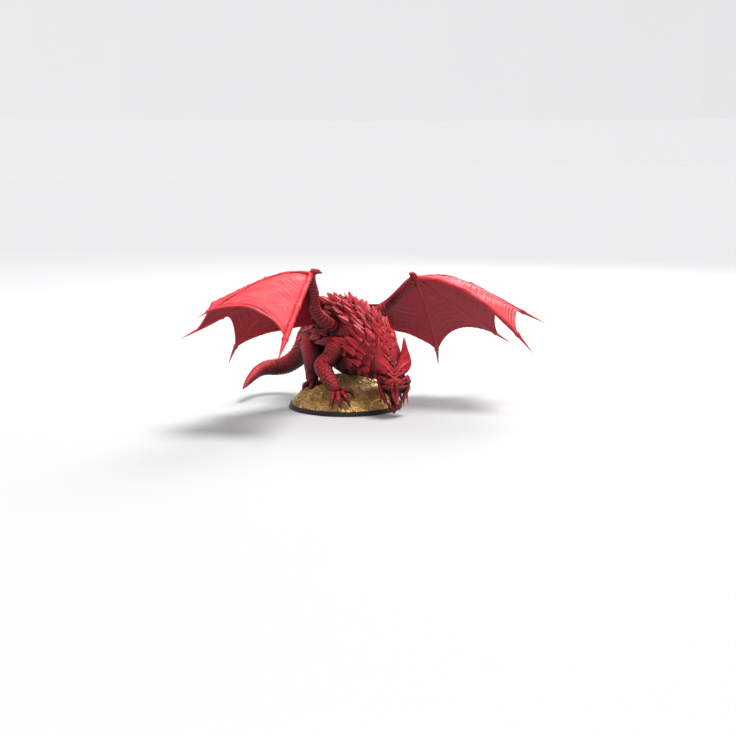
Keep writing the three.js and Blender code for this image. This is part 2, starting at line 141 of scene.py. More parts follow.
def catmull(points, t):
    """Points of a centripetal Catmull-Rom curve through the given points, at t from 0 to 1."""
    points = np.asarray(points, float)
    padded = np.vstack([2 * points[0] - points[1], points, 2 * points[-1] - points[-2]])
    at = np.clip(np.asarray(t, float), 0, 1) * (len(points) - 1)
    i = np.minimum(at.astype(int), len(points) - 2)
    w = (at - i)[..., None]
    p0, p1, p2, p3 = (padded[i + k] for k in range(4))
    d0, d1, d2 = (np.maximum(np.linalg.norm(b[..., :3] - a[..., :3], axis=-1), 1e-6)[..., None] ** 0.5
                  for a, b in ((p0, p1), (p1, p2), (p2, p3)))
    m1 = ((p1 - p0) / d0 - (p2 - p0) / (d0 + d1) + (p2 - p1) / d1) * d1
    m2 = ((p2 - p1) / d1 - (p3 - p1) / (d1 + d2) + (p3 - p2) / d2) * d1
    return p1 + w * m1 + w**2 * (3 * (p2 - p1) - 2 * m1 - m2) + w**3 * (2 * (p1 - p2) + m1 + m2)


def unit(v):
    return v / np.maximum(np.linalg.norm(v, axis=-1, keepdims=True), 1e-9)


def smooth(x, low, high):
    x = np.clip((x - low) / (high - low), 0, 1)
    return x * x * (3 - 2 * x)


class Noise:
    """Smooth wobble made of a few seeded waves, about -1 to 1. The size is its shortest wavelength in mm."""

    def __init__(self, size, seed, waves=14):
        r = np.random.default_rng(seed)
        directions = unit(r.normal(size=(waves, 3)))
        self.k = directions * (2 * math.pi / (size * r.uniform(1, 2.6, (waves, 1))))
        self.phase = r.uniform(0, 2 * math.pi, waves)

    def __call__(self, p):
        return np.sin(p @ self.k.T + self.phase).sum(-1) / math.sqrt(len(self.phase)) * 0.8


class Spine:
    """A limb's centre line with radii, and its cross directions. Angle 0 is its top, a quarter turn its side."""

    def __init__(self, line, up=(0, 0, 1)):
        self.line = np.asarray(line, float)
        self.up = unit(np.asarray(up, float))
        steps = catmull(self.line, np.linspace(0, 1, 200))[:, :3]
        self.length = np.linalg.norm(np.diff(steps, axis=0), axis=1).sum()

    def frames(self, t):
        here = catmull(self.line, t)
        along = unit(catmull(self.line, np.minimum(t + 0.01, 1))[..., :3]
            - catmull(self.line, np.maximum(t - 0.01, 0))[..., :3])
        side = unit(np.cross(along, self.up))
        top = np.cross(side, along)
        return here[..., :3], here[..., 3], along, side, top


# ---------- Meshes ----------


def joined(shapes):
    """Several shapes, each (vertices, quads, triangles), as one."""
    vertices, quads, triangles, count = [], [], [], 0
    for v, q, t in shapes:
        vertices.append(v)
        quads.append(q + count)
        triangles.append(t + count)
        count += len(v)
    return np.vstack(vertices), np.vstack(quads), np.vstack(triangles)


NO_TRIANGLES = np.zeros((0, 3), int)


def piece(name, shape, body, material, nodes=(), crisp=0):
    """A piece from a shape in mm, on a body and maybe for CAD nodes. Edges over crisp degrees stay sharp."""
    vertices, quads, triangles = shape
    mesh = bpy.data.meshes.new(name)
    mesh.vertices.add(len(vertices))
    mesh.vertices.foreach_set("co", (vertices * MM).astype(np.float32).ravel())
    loops = np.concatenate([quads.ravel(), triangles.ravel()]).astype(np.int32)
    mesh.loops.add(len(loops))
    mesh.loops.foreach_set("vertex_index", loops)
    starts = np.concatenate([np.arange(len(quads)) * 4, len(quads) * 4 + np.arange(len(triangles)) * 3])
    mesh.polygons.add(len(starts))
    mesh.polygons.foreach_set("loop_start", starts.astype(np.int32))
    mesh.polygons.foreach_set("use_smooth", np.ones(len(starts), bool))
    mesh.update(calc_edges=True)
    mesh.validate()
    if crisp:
        mesh.set_sharp_from_angle(angle=math.radians(crisp))
    mesh.materials.append(material)
    made = bpy.data.objects.new(name, mesh)
    bpy.context.collection.objects.link(made)
    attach(made, body)
    if nodes:
        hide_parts(*nodes)
    return made


def grid_faces(rows, columns, wrap):
    """Quads of a grid of vertices, rows by columns, with its columns joined round if wrap is set."""
    r, c = np.meshgrid(np.arange(rows - 1), np.arange(columns if wrap else columns - 1), indexing="ij")
    d = (c + 1) % columns
    return np.stack([r * columns + c, r * columns + d, (r + 1) * columns + d, (r + 1) * columns + c],
        -1).reshape(-1, 4)


def loft(spine, rings, around, offset=None, across=1.0, upright=1.0, caps=(0.04, 0.04)):
    """A closed skin round a spine. offset(t, angle, points) gives how far each point moves outwards, in mm."""
    t = np.linspace(0, 1, rings)
    centre, radius, along, side, top = spine.frames(t)
    cap = np.ones(rings)
    if caps[0]:
        cap *= np.sqrt(np.clip(1 - (1 - np.clip(t / caps[0], 0.02, 1)) ** 2, 0, 1))
    if caps[1]:
        cap *= np.sqrt(np.clip(1 - (1 - np.clip((1 - t) / caps[1], 0.02, 1)) ** 2, 0, 1))
    angle = np.linspace(0, 2 * math.pi, around, endpoint=False)
    out = side[:, None] * (np.sin(angle) * across)[None, :, None] + top[:, None] * (np.cos(angle)
        * upright)[None, :, None]
    r = np.broadcast_to((radius * cap)[:, None], (rings, around))
    points = centre[:, None] + out * r[..., None]
    if offset is not None:
        move = offset(np.broadcast_to(t[:, None], r.shape), np.broadcast_to(angle[None], r.shape), points)
        points = points + unit(out) * (move * cap[:, None])[..., None]
    vertices = np.vstack([points.reshape(-1, 3), centre[:1], centre[-1:]])
    first, last, n = len(vertices) - 2, len(vertices) - 1, rings * around
    k = np.arange(around)
    start = np.stack([np.full(around, first), (k + 1) % around, k], -1)
    end = np.stack([np.full(around, last), n - around + k, n - around + (k + 1) % around], -1)
    return vertices, grid_faces(rings, around, True), np.vstack([start, end])


def sheet(top, thickness):
    """A closed sheet from a grid of points, of the given thickness (a number or one value per point)."""
    rows, columns, _ = top.shape
    du, dv = np.gradient(top, axis=1), np.gradient(top, axis=0)
    normal = unit(np.cross(du, dv))
    half = np.broadcast_to(np.asarray(thickness, float) / 2, (rows, columns))[..., None]
    upper = (top + normal * half).reshape(-1, 3)
    lower = (top - normal * half).reshape(-1, 3)
    n = rows * columns
    faces = grid_faces(rows, columns, False)
    index = np.arange(n).reshape(rows, columns)
    rim = np.concatenate([index[0], index[1:, -1], index[-1, -2::-1], index[-2:0:-1, 0]])
    after = np.roll(rim, -1)
    edge = np.stack([after, rim, rim + n, after + n], -1)
    return np.vstack([upper, lower]), np.vstack([faces, faces[:, ::-1] + n, edge]), NO_TRIANGLES


def scattered(template, positions, x, y, z, sizes):
    """Copies of a small shape. x, y and z are each copy's directions, and sizes scales it along them."""
    vertices, quads, triangles = template
    scaled = vertices[None] * sizes[:, None]
    placed = (scaled[..., :1] * x[:, None] + scaled[..., 1:2] * y[:, None] + scaled[..., 2:]
        * z[:, None]) + positions[:, None]
    step = (np.arange(len(positions)) * len(vertices))[:, None, None]
    return (placed.reshape(-1, 3), (quads[None] + step).reshape(-1, 4),
        (triangles[None] + step).reshape(-1, 3))


def plate_template(ridge=0.26, columns=11, rows=12):
    """A keeled shard of a scale plate with chipped edges, 1 wide and 1 long along +Y, lying on Z = 0."""
    v = np.linspace(0, 1, rows)[:, None]
    u = np.linspace(-1, 1, columns)[None]
    chips = 1 - 0.2 * ((v * 3.4 + 0.15 * np.sign(u)) % 1) * smooth(v, 0.2, 0.4)
    width = 0.56 * np.minimum(v / 0.3, 1) ** 0.5 * (1 - v) ** 0.5 * chips + 0.012
    keel = ridge * (1 - np.abs(u)) + 0.05 * np.cos(3 * math.pi * u) - 0.14 * u**2
    top = np.stack([u * width, v - 0.06 * np.abs(u) * v, (keel + 0.10 * v**2) * (1 - 0.5 * v)], -1)
    return sheet(top, 0.15)


def cone_template(around=9, rows=7, bend=0.18):
    """A slightly bent spike, 1 across at its root and 1 high along +Z."""
    v = np.linspace(0, 1, rows)
    angle = np.linspace(0, 2 * math.pi, around, endpoint=False)
    radius = 0.5 * (1 - v) ** 0.8
    ring = np.stack([np.cos(angle), np.sin(angle), np.zeros(around)], -1)
    points = ring[None] * radius[:-1, None, None]
    points[..., 1] += (bend * v[:-1] ** 2)[:, None]
    points[..., 2] += v[:-1, None]
    vertices = np.vstack([points.reshape(-1, 3), [[0, bend, 1]], [[0, 0, -0.05]]])
    n = (rows - 1) * around
    k = np.arange(around)
    tip = np.stack([n - around + k, n - around + (k + 1) % around, np.full(around, n)], -1)
    root = np.stack([(k + 1) % around, k, np.full(around, n + 1)], -1)
    return vertices, grid_faces(rows - 1, around, True), np.vstack([tip, root])


def spikes(roots, tips, widths, flat=1.0):
    """Spikes from each root to its tip, bent a little."""
    roots, tips = np.asarray(roots, float), np.asarray(tips, float)
    reach = tips - roots
    length = np.linalg.norm(reach, axis=1)
    z = unit(reach)
    y = unit(np.cross(z, np.array([0.31, 0.87, 0.38])))
    x = np.cross(y, z)
    widths = np.broadcast_to(np.asarray(widths, float), length.shape)
    return scattered(cone_template(), roots, x, y, z, np.stack([widths, widths * flat, length], -1))


def sculpt(field, low, high, voxel):
    """The skin where a field, given points in mm, passes zero, inside the box from low to high."""
    low, high = np.asarray(low, float), np.asarray(high, float)
    counts = np.ceil((high - low) / voxel).astype(int) + 1
    axes = [low[i] + voxel * np.arange(counts[i]) for i in range(3)]
    points = np.stack(np.meshgrid(*axes, indexing="ij"), -1)
    values = field(points).astype(np.float32)
    grid = openvdb.FloatGrid(background=float(3 * voxel))
    grid.copyFromArray(np.clip(values, -3 * voxel, 3 * voxel))
    vertices, triangles, quads = grid.convertToPolygons(isovalue=0.0, adaptivity=0.0)
    vertices = low + vertices.astype(float) * voxel
    return vertices, quads.astype(int).reshape(-1, 4), triangles.astype(int).reshape(-1, 3)


def capsule(p, a, b, ra, rb):
    """Distance to a tapered capsule."""
    a, b = np.asarray(a, float), np.asarray(b, float)
    along = b - a
    h = np.clip(((p - a) @ along) / (along @ along), 0, 1)
    return np.linalg.norm(p - a - h[..., None] * along, axis=-1) - (ra + (rb - ra) * h)


def ellipsoid(p, centre, radii):
    """Rough distance to an ellipsoid."""
    q = (p - np.asarray(centre, float)) / np.asarray(radii, float)
    k = np.linalg.norm(q, axis=-1)
    return (k - 1) * min(radii)


def blend(a, b, k):
    """Smooth union of two fields over about k mm."""
    h = np.clip(0.5 + 0.5 * (b - a) / k, 0, 1)
    return b + (a - b) * h - k * h * (1 - h)


def carve(a, b, k):
    """Field a with field b cut out of it, with a soft edge of about k mm."""
    return -blend(-a, b, k)


# ---------- Patterns of relief, in mm of height ----------


def scales(x, y, edge=0.22):
    """Brick-laid scales, one per unit along x and y: 0 in the grooves, 1 at each scale's free end."""
    row = np.floor(x)
    fx = x - row
    fy = (y + 0.5 * (row % 2)) % 1
    border = np.minimum(np.minimum(fx, 1 - fx) / edge, np.minimum(fy, 1 - fy) / edge)
    return np.clip(border, 0, 1) ** 0.6 * (0.55 + 0.45 * fx)


def bands(x):
    """Overlapping bands, one per unit: a slow rise, then a sharp drop."""
    f = x % 1
    return np.where(f < 0.82, (f / 0.82) ** 1.3, 1 - (f - 0.82) / 0.18)


# ---------- Materials ----------


def shader(name):
    material = bpy.data.materials.new(name)
    material.use_nodes = True
    tree = material.node_tree
    return material, tree, tree.nodes["Principled BSDF"]


def add_node(tree, kind, **values):
    node = tree.nodes.new(kind)
    for key, value in values.items():
        if key.startswith("_"):
            setattr(node, key[1:], value)
        else:
            node.inputs[key].default_value = value
    return node


def ramp(tree, source, stops):
    node = tree.nodes.new("ShaderNodeValToRGB")
    elements = node.color_ramp.elements
    while len(elements) < len(stops):
        elements.new(0.5)
    for element, (place, colour) in zip(elements, stops):
        element.position = place
        element.color = (*colour, 1)
    tree.links.new(source, node.inputs["Fac"])
    return node.outputs["Color"]


def mixed(tree, mode, factor, a, b):
    node = tree.nodes.new("ShaderNodeMix")
    node.data_type = "RGBA"
    node.blend_type = mode
    for socket, value in ((node.inputs["Factor"], factor), (node.inputs["A"], a), (node.inputs["B"], b)):
        if isinstance(value, bpy.types.NodeSocket):
            tree.links.new(value, socket)
        elif isinstance(value, tuple):
            socket.default_value = (*value, 1)
        else:
            socket.default_value = value
    return node.outputs["Result"]


def grey(level):
    return (level, level, level)


def painted_plastic(name, stops, rough, wash_and_recess_shade=0.44, edge=0.55, edge_highlight=0.5, scale_size=0.0,
    scale_depth=0.0, grain=900.0, painted_shadow_reach=0.0):
    """Plastic with painted light: a highlight painted where it looks up and shade painted underneath, with
    painted shade in recesses and painted highlights on its edges.

    The last argument is how near, in mm, other parts of the figure must be to paint their shade on it."""
    material, tree, bsdf = shader(name)
    link = tree.links.new
    geometry = tree.nodes.new("ShaderNodeNewGeometry")
    place = tree.nodes.new("ShaderNodeTexCoord")
    parts = tree.nodes.new("ShaderNodeSeparateXYZ")
    link(geometry.outputs["Normal"], parts.inputs["Vector"])
    blotch = add_node(tree, "ShaderNodeTexNoise", Scale=110.0, Detail=5.0, Roughness=0.6)
    link(place.outputs["Object"], blotch.inputs["Vector"])
    # Painted light: how far the surface faces up picks the colour, painting a highlight on top and shade
    # underneath.
    upward = add_node(tree, "ShaderNodeMath", _operation="MULTIPLY_ADD")
    upward.inputs[1].default_value = 0.5
    link(parts.outputs["Z"], upward.inputs[0])
    link(add_shift(tree, blotch.outputs["Fac"], 0.24, 0.38), upward.inputs[2])
    # Painted highlight: the pale top colour is mixed in on sharp edges.
    rim = ramp(tree, geometry.outputs["Pointiness"], [(0.505, grey(0.0)), (edge, grey(edge_highlight))])
    facing = mixed(tree, "MIX", rim, ramp(tree, upward.outputs["Value"], stops), stops[-1][1])
    # Painted shade: creases and gaps within a few mm are darkened.
    crevice = add_node(tree, "ShaderNodeAmbientOcclusion", _samples=5, Distance=0.0055)
    shaded = mixed(tree, "MULTIPLY", 1.0, facing, ramp(tree, crevice.outputs["AO"],
        [(0.12, grey(0.10)), (0.5, grey(0.55)), (0.88, grey(1.0))]))
    # Painted shadow: surfaces with other parts of the figure close above or beside them are darkened.
    if painted_shadow_reach:
        painted_shadow = add_node(tree, "ShaderNodeAmbientOcclusion", _samples=6, Distance=painted_shadow_reach * MM)
        shaded = mixed(tree, "MULTIPLY", 1.0, shaded, ramp(tree, painted_shadow.outputs["AO"],
            [(0.35, grey(0.12)), (0.62, grey(0.42)), (0.88, grey(1.0))]))
    # Painted shade: hollow parts of the surface are darkened.
    recess_shaded = mixed(tree, "MULTIPLY", 1.0, shaded, ramp(tree, geometry.outputs["Pointiness"],
        [(wash_and_recess_shade, grey(0.2)), (0.497, grey(1.0))]))
    link(recess_shaded, bsdf.inputs["Base Color"])
    fine = add_node(tree, "ShaderNodeTexNoise", Scale=grain, Detail=4.0, Roughness=0.65)
    link(place.outputs["Object"], fine.inputs["Vector"])
    bump = add_node(tree, "ShaderNodeBump", Strength=0.3, Distance=0.0003)
    link(fine.outputs["Fac"], bump.inputs["Height"])
    if scale_size:
        cells = add_node(tree, "ShaderNodeTexVoronoi", _feature="DISTANCE_TO_EDGE",
            Scale=1000.0 / scale_size, Randomness=0.8)
        link(place.outputs["Object"], cells.inputs["Vector"])
        scaly = add_node(tree, "ShaderNodeBump", Strength=0.8, Distance=scale_depth * MM)
        link(ramp(tree, cells.outputs["Distance"], [(0.0, grey(0.0)), (0.22, grey(1.0))]),
            scaly.inputs["Height"])
        link(scaly.outputs["Normal"], bump.inputs["Normal"])
    link(bump.outputs["Normal"], bsdf.inputs["Normal"])
    link(ramp(tree, blotch.outputs["Fac"], [(0.3, grey(rough - 0.07)), (0.7, grey(rough + 0.08))]),
        bsdf.inputs["Roughness"])
    bsdf.inputs["Specular IOR Level"].default_value = 0.35
    return material


def add_shift(tree, source, gain, offset):
    """source * gain + offset."""
    node = add_node(tree, "ShaderNodeMath", _operation="MULTIPLY_ADD")
    node.inputs[1].default_value = gain
    node.inputs[2].default_value = offset
    tree.links.new(source, node.inputs[0])
    return node.outputs["Value"]


def gold_paint():
    """Gold paint, dark brown between the coins and pale on their raised edges, with some coins brighter than
    others.
    """
    material, tree, bsdf = shader("hoard_gold_paint")
    link = tree.links.new
    geometry = tree.nodes.new("ShaderNodeNewGeometry")
    place = tree.nodes.new("ShaderNodeTexCoord")
    edges = ramp(tree, geometry.outputs["Pointiness"],
        [(0.40, (0.12, 0.045, 0.010)), (0.49, (0.72, 0.36, 0.085)), (0.56, (1.0, 0.74, 0.34))])
    coin = ramp(tree, geometry.outputs["Random Per Island"],
        [(0.0, (0.55, 0.25, 0.06)), (0.5, (0.86, 0.48, 0.14)), (1.0, (1.0, 0.74, 0.32))])
    blotch = add_node(tree, "ShaderNodeTexNoise", Scale=140.0, Detail=6.0, Roughness=0.62)
    link(place.outputs["Object"], blotch.inputs["Vector"])
    # Darker blotches at random.
    wash_and_recess_shade = ramp(tree, blotch.outputs["Fac"], [(0.38, grey(0.5)), (0.6, grey(1.0))])
    link(mixed(tree, "MULTIPLY", 0.7, mixed(tree, "MIX", 0.5, edges, coin), wash_and_recess_shade),
        bsdf.inputs["Base Color"])
    link(ramp(tree, blotch.outputs["Fac"], [(0.3, grey(0.5)), (0.7, grey(0.3))]), bsdf.inputs["Roughness"])
    bsdf.inputs["Metallic"].default_value = 0.65
    bump = add_node(tree, "ShaderNodeBump", Strength=0.4, Distance=0.0003)
    fine = add_node(tree, "ShaderNodeTexNoise", Scale=1500.0, Detail=3.0)
    link(place.outputs["Object"], fine.inputs["Vector"])
    link(fine.outputs["Fac"], bump.inputs["Height"])
    link(bump.outputs["Normal"], bsdf.inputs["Normal"])
    return material


# Colour steps of the red, from painted shade on surfaces facing down to painted highlight on surfaces facing up.
# The last step is also the painted highlight on edges.
MAROON = (0.060, 0.003, 0.008)
CRIMSON = (0.185, 0.005, 0.014)
SCARLET = (0.46, 0.010, 0.022)
CORAL = (0.84, 0.036, 0.050)
HIDE = painted_plastic("crimson_hide", [(0.0, MAROON), (0.45, CRIMSON), (0.8, SCARLET), (1.0, CORAL)], 0.42,
    scale_size=1.5, scale_depth=0.25, painted_shadow_reach=45)
PLATE = painted_plastic("crimson_plates", [(0.05, MAROON), (0.40, CRIMSON), (0.70, SCARLET), (1.0, CORAL)],
    0.38, edge_highlight=0.6, painted_shadow_reach=45)
# The web's colour steps, from painted shade on its underside to painted highlight on its top.
WEB_STOPS = [(0.0, (0.26, 0.012, 0.022)), (0.42, (0.34, 0.016, 0.030)), (0.60, (0.60, 0.018, 0.032)),
    (0.95, (0.86, 0.040, 0.055))]
WEB = painted_plastic("wing_web_red", WEB_STOPS, 0.46, wash_and_recess_shade=0.47, edge=0.53, edge_highlight=0.12, grain=500.0)
# The mouth red, tongue red and base black also step from painted shade underneath to painted highlight on top.
MOUTH = painted_plastic("mouth_red", [(0.0, (0.010, 0.001, 0.002)), (0.5, (0.09, 0.004, 0.010)),
    (1.0, (0.30, 0.02, 0.035))], 0.3)
TONGUE = painted_plastic("tongue_red", [(0.0, (0.07, 0.004, 0.010)), (0.5, (0.30, 0.014, 0.028)),
    (1.0, (0.62, 0.05, 0.07))], 0.32)
BLACK = painted_plastic("base_black_plastic", [(0.0, (0.004, 0.004, 0.004)), (1.0, (0.014, 0.015, 0.015))],
    0.5, edge_highlight=0.1)
GOLD = gold_paint()

# ---------- Camera, lights and floor ----------

CAMERA_AT = (-0.5369, -0.9695, 0.2135)
CAMERA_LENS = 62.36
CAMERA_TURN = math.radians(30)
CAMERA_PITCH = math.radians(9.2)
# The floor's radius and height in metres: flat round the figure, and rising far away to hide the horizon.
STUDIO_SWEEP = ((2, 0), (16, 0), (18, 0.15), (21, 0.9), (26, 3.5), (33, 9), (40, 15))
SWEEP_SIDES = 96
FLOOR_GREY = 0.68
WORLD_STRENGTH = 0.42
KEY_STRENGTH, KEY_SPREAD, KEY_AIM = 2.6, 0.45, (-0.33, 0.2, -1.24)
# Each lamp's name, place, size and watts.
LAMPS = (("fill", (-1.0, -1.3, 0.8), 1.2, 4.0), ("rim", (0.9, 0.7, 0.9), 0.6, 8.0))
LAMP_TARGET = (0, 0, 0.06)


def stage():
    camera = bpy.data.objects.new("camera", bpy.data.cameras.new("camera"))
    bpy.context.collection.objects.link(camera)
    camera.data.lens = CAMERA_LENS
    camera.location = CAMERA_AT
    heading = Vector((math.sin(CAMERA_TURN) * math.cos(CAMERA_PITCH), math.cos(CAMERA_TURN)
        * math.cos(CAMERA_PITCH), -math.sin(CAMERA_PITCH)))
    camera.rotation_euler = heading.to_track_quat("-Z", "Y").to_euler()
    bpy.context.scene.camera = camera
    bpy.context.scene.view_settings.view_transform = "Standard"

    turn = np.linspace(0, 2 * math.pi, SWEEP_SIDES, endpoint=False)
    sweep = [np.stack([r * np.cos(turn), r * np.sin(turn), np.full(SWEEP_SIDES, cad_low.z + h)], -1)
        for r, h in STUDIO_SWEEP]
    floor_mesh = bpy.data.meshes.new("floor")
    floor_mesh.from_pydata(np.vstack(sweep).tolist(), [], [list(range(SWEEP_SIDES))]
        + grid_faces(len(sweep), SWEEP_SIDES, True).tolist())
    floor = bpy.data.objects.new("floor", floor_mesh)
    bpy.context.collection.objects.link(floor)
    material, tree, bsdf = shader("floor_white")
    bsdf.inputs["Base Color"].default_value = (*grey(FLOOR_GREY), 1)
    bsdf.inputs["Roughness"].default_value = 0.9
    floor.data.materials.append(material)

    world = bpy.data.worlds.new("studio")
    world.use_nodes = True
    world.node_tree.nodes["Background"].inputs["Color"].default_value = (0.95, 0.97, 1.0, 1)
    world.node_tree.nodes["Background"].inputs["Strength"].default_value = WORLD_STRENGTH
    bpy.context.scene.world = world
    for name, place, size, power in LAMPS:
        lamp = bpy.data.objects.new(name, bpy.data.lights.new(name, "AREA"))
        bpy.context.collection.objects.link(lamp)
        lamp.data.size = size
        lamp.data.energy = power
        lamp.location = place
        lamp.rotation_euler = (Vector(LAMP_TARGET) - Vector(place)).to_track_quat("-Z", "Y").to_euler()
    key = bpy.data.objects.new("key", bpy.data.lights.new("key", "SUN"))
    bpy.context.collection.objects.link(key)
    key.data.energy = KEY_STRENGTH
    key.data.angle = KEY_SPREAD
    key.rotation_euler = Vector(KEY_AIM).to_track_quat("-Z", "Y").to_euler()


stage()

# ---------- Base and hoard ----------

BASE_RADIUS = (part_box("base_disc")[1][0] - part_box("base_disc")[0][0]) / 2 / MM
BASE_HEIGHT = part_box("base_disc")[1][2] / MM
MOUND_RADIUS = (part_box("hoard_mound")[1][0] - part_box("hoard_mound")[0][0]) / 2 / MM
COINS = 5000
coin_lump = Noise(9, 31)


def mound_height(x, y):
    reach = np.minimum(np.hypot(x, y) / MOUND_RADIUS, 1)
    behind = x * math.sin(CAMERA_TURN) + y * math.cos(CAMERA_TURN)
    hump = 4 * np.exp(-((x - 4) ** 2 + (y - 14) ** 2) / (2 * 16**2))
    return BASE_HEIGHT - 0.4 + (15.5 + 0.14 * behind + hump) * (1 - reach**4.4)


def mound_surface(x, y):
    """Height with the heap's lumps, and the outward normal."""
    lumpy = lambda a, b: mound_height(a, b) + 0.7 * coin_lump(np.stack([a, b, 0 * a], -1)) * (1
        - np.minimum(np.hypot(a, b) / MOUND_RADIUS, 1) ** 6)
    z = lumpy(x, y)
    dx = (lumpy(x + 0.5, y) - lumpy(x - 0.5, y))
    dy = (lumpy(x, y + 0.5) - lumpy(x, y - 0.5))
    return z, unit(np.stack([-dx, -dy, np.ones_like(z)], -1))


def lathe(profile, around):
    profile = np.asarray(profile, float)
    angle = np.linspace(0, 2 * math.pi, around, endpoint=False)
    points = np.stack([profile[:, :1] * np.cos(angle), profile[:, :1] * np.sin(angle),
        np.broadcast_to(profile[:, 1:], (len(profile), around))], -1)
    vertices = np.vstack([points.reshape(-1, 3), [[0, 0, profile[0, 1]]], [[0, 0, profile[-1, 1]]]])
    n = len(profile) * around
    k = np.arange(around)
    low = np.stack([np.full(around, n), (k + 1) % around, k], -1)
    high = np.stack([np.full(around, n + 1), n - around + k, n - around + (k + 1) % around], -1)
    return vertices, grid_faces(len(profile), around, True), np.vstack([low, high])


def make_base():
    h, r = BASE_HEIGHT, BASE_RADIUS
    profile = [[r - 4, 0.02], [r - 0.5, 0.0], [r - 0.12, 0.12], [r, 0.5], [r - 0.04, 0.9],
        [r - 1.2, h - 0.5], [r - 1.32, h - 0.16],
               [r - 1.6, h], [r - 2.2, h - 0.02], [r - 2.6, h - 0.3], [r - 2.7, h - 1.2], [r - 6, h - 1.2]]
    piece("round_base", lathe(profile, 256), "figure", BLACK, ["base_disc"])


def make_hoard():
    rings = np.linspace(0.01, 1, 90) ** 0.8
    angle = np.linspace(0, 2 * math.pi, 220, endpoint=False)
    x = rings[:, None] * np.cos(angle) * MOUND_RADIUS
    y = rings[:, None] * np.sin(angle) * MOUND_RADIUS
    z, _ = mound_surface(x, y)
    grain = Noise(1.6, 5)
    z = z + 0.22 * grain(np.stack([x, y, z], -1))
    top = np.stack([x, y, z - 0.35], -1).reshape(-1, 3)
    count, n = len(angle), len(top)
    foot = np.stack([x[-1], y[-1], np.full(count, BASE_HEIGHT - 1.0)], -1)
    vertices = np.vstack([top, foot, [[0, 0, mound_surface(np.array([0.0]), np.array([0.0]))[0][0]]],
        [[0, 0, BASE_HEIGHT - 1.0]]])
    k = np.arange(count)
    after = (k + 1) % count
    wall = np.stack([n - count + k, n + k, n + after, n - count + after], -1)
    cap = np.stack([np.full(count, n + count), k, after], -1)
    under = np.stack([np.full(count, n + count + 1), n + after, n + k], -1)
    faces = grid_faces(len(rings), count, True)[:, ::-1]
    heap = (vertices, np.vstack([faces, wall]), np.vstack([cap, under]))

    turn = np.linspace(0, 2 * math.pi, 8, endpoint=False)
    outline = [(0.5, 0.0), (0.5, 0.2), (0.41, 0.26), (0.34, 0.21)]
    coin = np.vstack([np.stack([r * np.cos(turn), r * np.sin(turn), np.full(8, h)], -1)
        for r, h in outline] + [[[0, 0, 0.24]], [[0, 0, 0]]])
    j = np.arange(8)
    crown = np.stack([24 + j, 24 + (j + 1) % 8, np.full(8, 32)], -1)
    sole = np.stack([(j + 1) % 8, j, np.full(8, 33)], -1)
    template = (coin, grid_faces(4, 8, True), np.vstack([crown, sole]))
    reach = MOUND_RADIUS * np.sqrt(rng.uniform(0, 1, COINS)) * 0.995
    place = rng.uniform(0, 2 * math.pi, COINS)
    cx, cy = reach * np.cos(place), reach * np.sin(place)
    cz, normal = mound_surface(cx, cy)
    z_axis = unit(normal + rng.normal(0, 0.26, (COINS, 3)))
    x_axis = unit(np.cross(z_axis, rng.normal(size=(COINS, 3))))
    width = rng.choice([1.5, 1.9, 2.3, 2.8], COINS, p=[0.35, 0.35, 0.2, 0.1])
    sizes = np.stack([width, width, width * 0.9], -1)
    positions = np.stack([cx, cy, cz - 0.15], -1)
    piece("hoard_heap", heap, "figure", GOLD, ["hoard_mound"])
    u, v = np.linspace(0, 1, 40)[None, :, None], np.linspace(0, 1, 40)[:, None, None]
    near, far = np.array([[4.0, -20.0], [1.5, -42.0]]), np.array([[25.4, -11.2], [17.4, -34.9]])
    flat = (near[0] * (1 - v) + near[1] * v) * (1 - u) + (far[0] * (1 - v) + far[1] * v) * u
    lift = mound_height(flat[..., 0], flat[..., 1]) + 0.9 + 0.12 * grain(np.dstack([flat,
        np.zeros((40, 40))]) * 0.7)
    piece("hoard_slab", sheet(np.dstack([flat, lift])[::-1], 1.4), "figure", GOLD)
    for name, chosen in (("hoard_coins_front", cy < 0), ("hoard_coins_back", cy >= 0)):
        coins = scattered(template, positions[chosen], x_axis[chosen], np.cross(z_axis, x_axis)[chosen],
            z_axis[chosen], sizes[chosen])
        piece(name, coins, "figure", GOLD)


make_base()
make_hoard()

# ---------- Body ----------

wobble = Noise(14, 11)
fine_wobble = Noise(3.2, 12)
torso_spine = Spine(TORSO)
neck_spine = Spine(NECK)
tail_spine = Spine(TAIL, up=(0.15, 0.25, 1))


def torso_relief(t, angle, p):
    side = np.abs(np.sin(angle))
    ribs = 0.55 * np.sin(t * torso_spine.length / 7.5 * 2 * math.pi) * side * smooth(t, 0.3,
        0.5) * smooth(-np.cos(angle), -0.5, 0.3)
    belly = 1.1 * bands(t * torso_spine.length / 6.0) * smooth(-np.cos(angle), 0.55, 0.8)
    skin = 0.5 * scales(t * torso_spine.length / 3.0, angle / (2 * math.pi) * 34)
    return ribs + belly + skin * (1 - smooth(-np.cos(angle), 0.5,
        0.7)) + 0.9 * wobble(p) + 0.15 * fine_wobble(p)


def neck_relief(t, angle, p):
    under = smooth(-np.cos(angle), 0.45, 0.75)
    throat = 1.5 * bands(t * neck_spine.length / 6.5) * under
    skin = 0.6 * scales(t * neck_spine.length / 3.4, angle / (2 * math.pi) * 26)
    return throat + skin * (1 - under) + 0.7 * wobble(p) + 0.15 * fine_wobble(p)


def tail_relief(t, angle, p):
    _, radius, *_ = tail_spine.frames(t)
    pitch = t**1.12 * 46
    ring = bands(pitch + 0.12 * np.sin(angle * 5))
    rows = scales(pitch, angle / (2 * math.pi) * 14)
    return (0.05 * ring + 0.07 * rows) * radius + 0.2 * wobble(p) * np.minimum(1, radius / 8)


